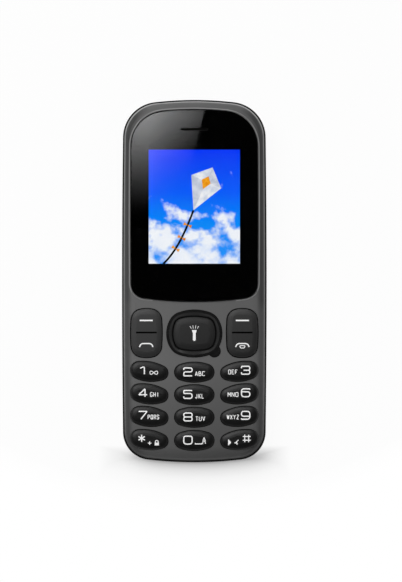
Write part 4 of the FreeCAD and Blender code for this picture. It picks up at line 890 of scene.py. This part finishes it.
def write_nought(legend, start, base):
    """The digit, the sign for a space and a small standing sign."""
    legend.digit("0", start, base)
    legend.line(((0.3, base + 0.35), (0.3, base + 0.05), (2.35, base + 0.05), (2.35, base + 0.35)), 0.3)
    add_bell(legend, 3.0, base + 0.1)


def write_hash(legend, start, base):
    """The hash and the signs for sound on and off."""
    legend.glyph("#", start + 0.4, base + 0.1, (2.4, 2.3), 0.3)
    add_speaker_signs(legend, base - 0.75)


# What writes each key's legend
NUMBER_KEYS = {
    "key_1": write_one, **dict.fromkeys(KEY_WORDS, write_plain),
    "key_star": write_star, "key_0": write_nought, "key_hash": write_hash,
}


def add_key_legends(material):
    for node, write in NUMBER_KEYS.items():
        middle = key_middle(node)
        column = column_of(middle.x)
        legend = Legend(node)
        write(legend, DIGIT_STARTS[column], middle.y + DIGIT_LIFT[column] - DIGIT_SIZE[1] / 2)
        legend.lay(material)


# The small signs, drawn in millimetres from the place that each is given

def add_infinity(legend, x, y):
    turns = [index / 32 * 2 * math.pi for index in range(33)]
    legend.line([(x + 1.2 * math.sin(turn), y + 0.5 * math.sin(2 * turn)) for turn in turns], 0.22)


def add_padlock(legend, x, y):
    legend.line(((x - 0.65, y + 0.42), (x + 0.65, y + 0.42)), 0.85)
    legend.line(((x - 0.42, y + 0.8), (x - 0.42, y + 1.5), (x + 0.42, y + 1.5), (x + 0.42, y + 0.8)),
                0.24, 0.4)


def add_bell(legend, x, y):
    """A small standing sign: a narrow drop over a short foot."""
    legend.line(((x - 0.42, y), (x - 0.32, y + 1.2), (x, y + 2.0), (x + 0.32, y + 1.2), (x + 0.42, y)),
                0.2, 0.3)
    legend.line(((x, y + 0.5), (x, y + 1.3)), 0.24)


def add_speaker_signs(legend, y):
    """A loudspeaker as three bars that shorten, and a bent line with a slanting one through it."""
    for index, reach in enumerate((0.85, 0.6, 0.3)):
        x = 10.5 + index * 0.28
        legend.line(((x, y + 0.75 - reach), (x, y + 0.75 + reach)), 0.3)
    legend.line(((12.3, y + 0.6), (13.1, y + 0.6), (13.1, y + 0.05)), 0.3, 0.1)
    legend.line(((12.6, y + 0.6), (13.5, y + 1.5)), 0.26)


def add_handset(legend, x, y):
    """A telephone receiver: a level bar whose ends bend down and outwards."""
    legend.line(((x - 2.05, y - 1.15), (x - 1.75, y - 0.4), (x - 1.15, y - 0.1), (x + 1.15, y - 0.1),
                 (x + 1.75, y - 0.4), (x + 2.05, y - 1.15)), 0.37, 0.5)


def add_rocker_legends(material):
    """A bar over a receiver on each two-way key; the right one's receiver has its rest beneath."""
    for node, end_call in (("left_rocker_key", False), ("right_rocker_key", True)):
        middle = key_middle(node)
        legend = Legend(node)
        x = middle.x + (0.05 if end_call else -0.05)
        legend.line(((x - 2.0, middle.y + 3.72), (x + 2.0, middle.y + 3.72)), 0.43)
        add_handset(legend, x, middle.y - 3.25)
        if end_call:
            y = middle.y - 4.4
            legend.line(((x, y + 0.42), (x + 0.85, y + 0.35), (x + 0.55, y - 0.32), (x - 0.55, y - 0.32),
                         (x - 0.85, y + 0.35), (x, y + 0.42)), 0.24, 0.2)
        legend.lay(material)


def add_torch_legend(material):
    """A lit torch on the middle key: rays over a wide head and a narrow body."""
    middle = key_middle("centre_key")
    x, top = middle.x, middle.y + 2.25
    legend = Legend("centre_key")
    for lean, reach in ((-1, 0.7), (-0.35, 1.0), (0.35, 1.0), (1, 0.7)):
        foot = Vector((x + lean * 0.9, top - 0.74))
        legend.line((foot, foot + Vector((lean * 0.4, reach))), 0.15)
    legend.line(((x - 0.7, top - 1.36), (x + 0.7, top - 1.36)), 0.36)
    legend.line(((x - 0.62, top - 1.65), (x + 0.62, top - 1.65)), 0.4)
    legend.line(((x - 0.5, top - 1.95), (x + 0.5, top - 1.95)), 0.3)
    legend.line(((x, top - 1.8), (x, top - 4.3)), 0.85)
    legend.line(((x - 0.22, top - 4.4), (x + 0.22, top - 4.4)), 0.24)
    legend.lay(material)


def legend_paint():
    """White paint, which the lamps behind the keys make glow a little."""
    material, shader = new_material("legend_white")
    tree = material.node_tree
    place = millimetres(tree)
    fleck = noise(tree, place, 6.0)
    tree.links.new(ramp(tree, fleck, ((0.3, grey(0.80)), (0.7, grey(0.88)))), shader.inputs["Base Color"])
    tree.links.new(spread(tree, fleck, 0.4, 0.5), shader.inputs["Roughness"])
    tree.links.new(ramp(tree, fleck, ((0.3, grey(0.9)), (0.7, grey(1.0)))), shader.inputs["Emission Color"])
    set_values(shader, {"Emission Strength": 0.12})
    return material


# The picture's own shapes: a kite on its string

# The kite's place from the middle of the display, how much it leans, and its corners before that,
# in millimetres; the badge is the orange middle
KITE_PLACE = (3.0, 6.2)
KITE_LEAN = math.radians(-24)
KITE_TOP, KITE_MIDDLE, KITE_BOTTOM = (0, 6.4), (0, 1.6), (0, -8.0)
KITE_LEFT, KITE_RIGHT = (-5.0, 1.6), (5.0, 1.6)
BADGE = ((0, 3.4), (-1.5, 1.6), (0, -0.9), (1.5, 1.6))

# The string's width and steps, where it leaves the picture, and how far it is pulled to the left
# and down on its way
STRING_WIDTH = 0.62
STRING_STEPS = 20
STRING_END = -9.5
STRING_PULL = (4.5, 4.0)

# The bows: at which steps of the string, how far a wing reaches, and half its width
BOW_STEPS = (4, 8, 12)
BOW_REACH, BOW_HALF = 1.25, 0.55


def glow(name, dark, light, per_mm=0.5):
    """A lit colour of the display, a little uneven."""
    material, shader = new_material(name)
    tree = material.node_tree
    place = millimetres(tree)
    tone = ramp(tree, noise(tree, place, per_mm), ((0.35, dark), (0.65, light)))
    tree.links.new(tone, shader.inputs["Emission Color"])
    set_values(shader, {"Base Color": grey(0.0), "Emission Strength": 1.0, "Specular IOR Level": 0.0})
    return material


def flat_shape(name, corners, level, material):
    """A plate a hair thick in plan, for a shape of the picture."""
    mesh = bmesh.new()
    top = [mesh.verts.new((x * MM, y * MM, level + HAIR)) for x, y in corners]
    low = [mesh.verts.new((x * MM, y * MM, level)) for x, y in corners]
    mesh.faces.new(top)
    mesh.faces.new(low[::-1])
    for index in range(len(corners)):
        after = (index + 1) % len(corners)
        mesh.faces.new((low[index], low[after], top[after], top[index]))
    finished(mesh, name, material, "housing")


def kite_point(corner):
    """The place in plan, in millimetres, of a point of the upright kite."""
    along = Vector((-math.sin(KITE_LEAN), math.cos(KITE_LEAN)))
    across = Vector((along.y, -along.x))
    centre = Vector((KITE_PLACE[0], display_middle() + KITE_PLACE[1]))
    return centre + across * corner[0] + along * corner[1]


def add_kite():
    """A white kite with an orange middle, held by a dark string, in the upper right of the sky."""
    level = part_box("lcd_panel")[1].z + HAIR
    white = glow("kite_white", (0.62, 0.68, 0.8, 1), grey(0.95))
    shade = glow("kite_shade", (0.5, 0.55, 0.66, 1), (0.72, 0.75, 0.82, 1))
    orange = glow("kite_orange", (0.75, 0.2, 0.0, 1), (1.0, 0.42, 0.02, 1), 1.2)
    sails = (
        ("kite_sail_1", (KITE_TOP, KITE_LEFT, KITE_MIDDLE), white),
        ("kite_sail_2", (KITE_TOP, KITE_MIDDLE, KITE_RIGHT), shade),
        ("kite_sail_3", (KITE_LEFT, KITE_BOTTOM, KITE_MIDDLE), shade),
        ("kite_sail_4", (KITE_MIDDLE, KITE_BOTTOM, KITE_RIGHT), white),
    )
    for name, corners, material in sails:
        flat_shape(name, [kite_point(corner) for corner in corners], level, material)
    flat_shape("kite_badge", [kite_point(corner) for corner in BADGE], level + 2 * HAIR, orange)
    add_string(level, orange)


def add_string(level, bow_material):
    """The kite's string, a curve from its lowest corner to the picture's lower edge, with bows."""
    start = kite_point(KITE_BOTTOM)
    end = Vector((STRING_END, display_middle() - PICTURE_LENGTH / 2))
    pull = Vector((start.x - STRING_PULL[0], (start.y + end.y) / 2 - STRING_PULL[1]))
    turns = [index / STRING_STEPS for index in range(STRING_STEPS + 1)]
    path = [start.lerp(pull, turn).lerp(pull.lerp(end, turn), turn) for turn in turns]
    left, right = edges_of(path, STRING_WIDTH)
    dark = glow("kite_string", grey(0.0), (0.012, 0.012, 0.01, 1))
    flat_shape("kite_string", left + right[::-1], level, dark)
    for index, step in enumerate(BOW_STEPS):
        knot, ahead = path[step], (path[step + 1] - path[step - 1]).normalized()
        side = Vector((-ahead.y, ahead.x))
        for mark, sign in (("a", 1), ("b", -1)):
            tip = knot + side * sign * BOW_REACH
            bow = [knot, tip + ahead * BOW_HALF, tip - ahead * BOW_HALF]
            flat_shape(f"kite_bow_{index}_{mark}", bow, level + 2 * HAIR, bow_material)


# Floor, lights and camera

def seen_rays(tree):
    """One for what the camera, a mirror or glass sees, nought for light on the object."""
    path = tree.nodes.new("ShaderNodeLightPath")
    most = path.outputs["Is Camera Ray"]
    for name in ("Is Glossy Ray", "Is Transmission Ray"):
        most = maths(tree, "MAXIMUM", most, path.outputs[name])
    return most


FLOOR_LEVEL = -0.02 * MM
FLOOR_REACH = 30.0
FLOOR_SIDES = 64

# The phone's lower end is an arc of this radius about this centre, and the floor beyond it turns
# from keeping the shadow to plain white: (millimetres from the arc, share of plain white)
END_CURVE = 0.122
END_CURVE_CENTRE = (0.0, 0.0662, 0.0)
SHADE_STOPS = ((0.0, 0.0), (0.6, 0.16), (1.2, 0.40), (2.2, 0.56), (3.2, 0.68),
               (5.5, 0.83), (10.0, 0.95), (16.0, 1.0))

# Elsewhere the floor is this much plain white: far to the sides, beside the phone above its lower
# end but not under it, and past its upper end
FLOOR_PALE = 0.93
SHADE_SIDES = (14 * MM, 30 * MM)
SHADE_UNDER = (15 * MM, 19.5 * MM)
SHADE_RISE = (-56 * MM, -51 * MM)
SHADE_TOP = (45 * MM, 51 * MM)


def add_floor():
    """A white floor whose painted glow hides its real shadow by place: the shadow stays most of all at the
    phone's lower end, and fades to white.
    """
    material, shader = new_material("floor_white")
    tree = material.node_tree
    place = tree.nodes.new("ShaderNodeTexCoord")
    from_centre = tree.nodes.new("ShaderNodeVectorMath")
    from_centre.operation = "DISTANCE"
    from_centre.inputs[1].default_value = END_CURVE_CENTRE
    tree.links.new(place.outputs["Object"], from_centre.inputs[0])
    first, last = SHADE_STOPS[0][0] * MM, SHADE_STOPS[-1][0] * MM
    along = spread(tree, from_centre.outputs["Value"], 0.0, 1.0, END_CURVE + first, END_CURVE + last)
    share = ramp(tree, along, [
        ((stop * MM - first) / (last - first), grey(level)) for stop, level in SHADE_STOPS
    ])
    split = axes(tree, place.outputs["Object"])
    off_middle = maths(tree, "ABSOLUTE", split["X"])
    aside = spread(tree, off_middle, 0.0, FLOOR_PALE, *SHADE_SIDES)
    beside = maths(tree, "MULTIPLY", spread(tree, off_middle, 0.0, 1.0, *SHADE_UNDER),
                   spread(tree, split["Y"], 0.0, FLOOR_PALE, *SHADE_RISE))
    beyond = spread(tree, split["Y"], 0.0, FLOOR_PALE, *SHADE_TOP)
    for pale in (aside, beside, beyond):
        share = maths(tree, "MAXIMUM", share, pale)
    set_values(shader, {"Base Color": grey(0.86), "Roughness": 0.9, "Specular IOR Level": 0.0})
    glow_shader = tree.nodes.new("ShaderNodeEmission")
    mixed = tree.nodes.new("ShaderNodeMixShader")
    tree.links.new(maths(tree, "MULTIPLY", share, seen_rays(tree)), mixed.inputs["Fac"])
    tree.links.new(shader.outputs["BSDF"], mixed.inputs[1])
    tree.links.new(glow_shader.outputs["Emission"], mixed.inputs[2])
    tree.links.new(mixed.outputs["Shader"], tree.nodes["Material Output"].inputs["Surface"])
    mesh = bmesh.new()
    bmesh.ops.create_circle(mesh, cap_ends=True, segments=FLOOR_SIDES, radius=FLOOR_REACH)
    floor = mesh_object(mesh, "floor", material)
    floor.location.z = FLOOR_LEVEL


# The sky's light on the phone, at the horizon and overhead, and what the camera and mirrors see
# of the sky by its height
SKY_LOW, SKY_HIGH = 0.30, 0.46
SKY_SEEN = ((0.0, grey(1.0)), (0.30, grey(1.0)), (0.62, grey(0.15)), (0.9, grey(0.006)))


def set_world():
    """A pale surround, seen as white near the horizon and dark overhead."""
    world = bpy.data.worlds.new("surround")
    bpy.context.scene.world = world
    world.use_nodes = True
    tree = world.node_tree
    background = tree.nodes["Background"]
    height = axes(tree, tree.nodes.new("ShaderNodeTexCoord").outputs["Generated"])["Z"]
    light = ramp(tree, height, ((0.0, grey(SKY_LOW)), (1.0, grey(SKY_HIGH))))
    seen = ramp(tree, height, SKY_SEEN)
    tree.links.new(mix_colours(tree, seen_rays(tree), light, seen), background.inputs["Color"])


# The lamps: name, place, size and power
LAMPS = (
    ("key_light", (-0.28, 0.44, 0.92), (0.75, 0.6), 6.4),
    ("rim_light", (0.05, 0.95, 0.32), (0.7, 0.2), 0.8),
)


def add_lamp(name, place, size, power):
    """A soft rectangular lamp that looks at the phone."""
    light = bpy.data.lights.new(name, "AREA")
    light.shape = "RECTANGLE"
    light.size, light.size_y = size
    light.energy = power
    lamp = add_object(name, light)
    lamp.location = place
    lamp.rotation_mode = "QUATERNION"
    lamp.rotation_quaternion = (-Vector(place)).to_track_quat("-Z", "Y")


# The bright card above the phone whose image lies on the upper left of the lens: its height, the
# two ends of its right edge and its other edges as the lens shows them, in millimetres, its
# brightness, where that is greatest, how far it fades to the right and down, and how steeply
CARD_HEIGHT = 1.06
CARD_RIGHT_EDGE = ((3.3, 52.6), (-6.4, 16.0))
CARD_LEFT = -40.0
CARD_TOP = 58.0
CARD_BRIGHT = 3.7
CARD_PEAK = (-14.7, 50.6)
CARD_FADE = (34.4, 31.5)
CARD_CURVE = 2.3


def add_card(camera):
    """A card of fading brightness, placed where the lens mirrors it to the camera."""
    eye = camera.location
    lens_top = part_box("screen_lens")[1].z
    stretch = 1 + (CARD_HEIGHT - lens_top) / (eye.z - lens_top)

    def mirrored(x, y):
        return (eye.x + (x * MM - eye.x) * stretch, eye.y + (y * MM - eye.y) * stretch, CARD_HEIGHT)

    (top_x, top_y), (low_x, low_y) = CARD_RIGHT_EDGE
    slope = (top_x - low_x) / (top_y - low_y)
    corners = [
        mirrored(CARD_LEFT, low_y), mirrored(low_x, low_y),
        mirrored(top_x + slope * (CARD_TOP - top_y), CARD_TOP), mirrored(CARD_LEFT, CARD_TOP),
    ]
    mesh = bmesh.new()
    mesh.faces.new([mesh.verts.new(corner) for corner in corners])
    material = bpy.data.materials.new("card_glow")
    material.use_nodes = True
    tree = material.node_tree
    tree.nodes.clear()
    split = axes(tree, tree.nodes.new("ShaderNodeTexCoord").outputs["Object"])
    peak = mirrored(*CARD_PEAK)
    end = mirrored(CARD_PEAK[0] + CARD_FADE[0], CARD_PEAK[1] - CARD_FADE[1])
    right = spread(tree, split["X"], 0.0, 1.0, peak[0], end[0])
    down = spread(tree, split["Y"], 1.0, 0.0, end[1], peak[1])
    left = maths(tree, "SUBTRACT", maths(tree, "SUBTRACT", 1.0, right), down)
    bright = maths(tree, "POWER", maths(tree, "MAXIMUM", left, 0.0), CARD_CURVE)
    glow_shader = tree.nodes.new("ShaderNodeEmission")
    tree.links.new(maths(tree, "MULTIPLY", bright, CARD_BRIGHT), glow_shader.inputs["Strength"])
    output = tree.nodes.new("ShaderNodeOutputMaterial")
    tree.links.new(glow_shader.outputs["Emission"], output.inputs["Surface"])
    card = mesh_object(mesh, "card", material)
    card.visible_camera = False
    card.visible_diffuse = False


# The photograph's frame and the phone's middle in it, in pixels, and the real size of a pixel
PHOTO_SIZE = (402, 582)
PHONE_CENTRE_PIXEL = (194.3, 281.1)
PIXEL = 0.3062 * MM

# The camera's height above the keys, and its sensor in millimetres
CAMERA_HEIGHT = 1.0
SENSOR = 36.0


def add_camera():
    """Straight above, with the phone where the photograph has it in its frame."""
    data = bpy.data.cameras.new("camera")
    camera = add_object("camera", data)
    off_x = (PHOTO_SIZE[0] / 2 - PHONE_CENTRE_PIXEL[0]) * PIXEL
    off_y = (PHONE_CENTRE_PIXEL[1] - PHOTO_SIZE[1] / 2) * PIXEL
    camera.location = (off_x, off_y, FACE + CAMERA_HEIGHT)
    data.sensor_width = SENSOR
    data.lens = SENSOR * CAMERA_HEIGHT / (PHOTO_SIZE[1] * PIXEL)
    data.clip_start, data.clip_end = 0.01, 60.0
    bpy.context.scene.camera = camera
    return camera


# The scene

dress_nodes()
dress_case()
dress_rockers()
dress_lens()
add_lens_line()
lower_mask()
add_slot_print()
paint = legend_paint()
add_key_legends(paint)
add_rocker_legends(paint)
add_torch_legend(paint)
add_kite()
add_floor()
set_world()
camera = add_camera()
add_card(camera)
for lamp in LAMPS:
    add_lamp(*lamp)
bpy.context.scene.view_settings.view_transform = "Standard"
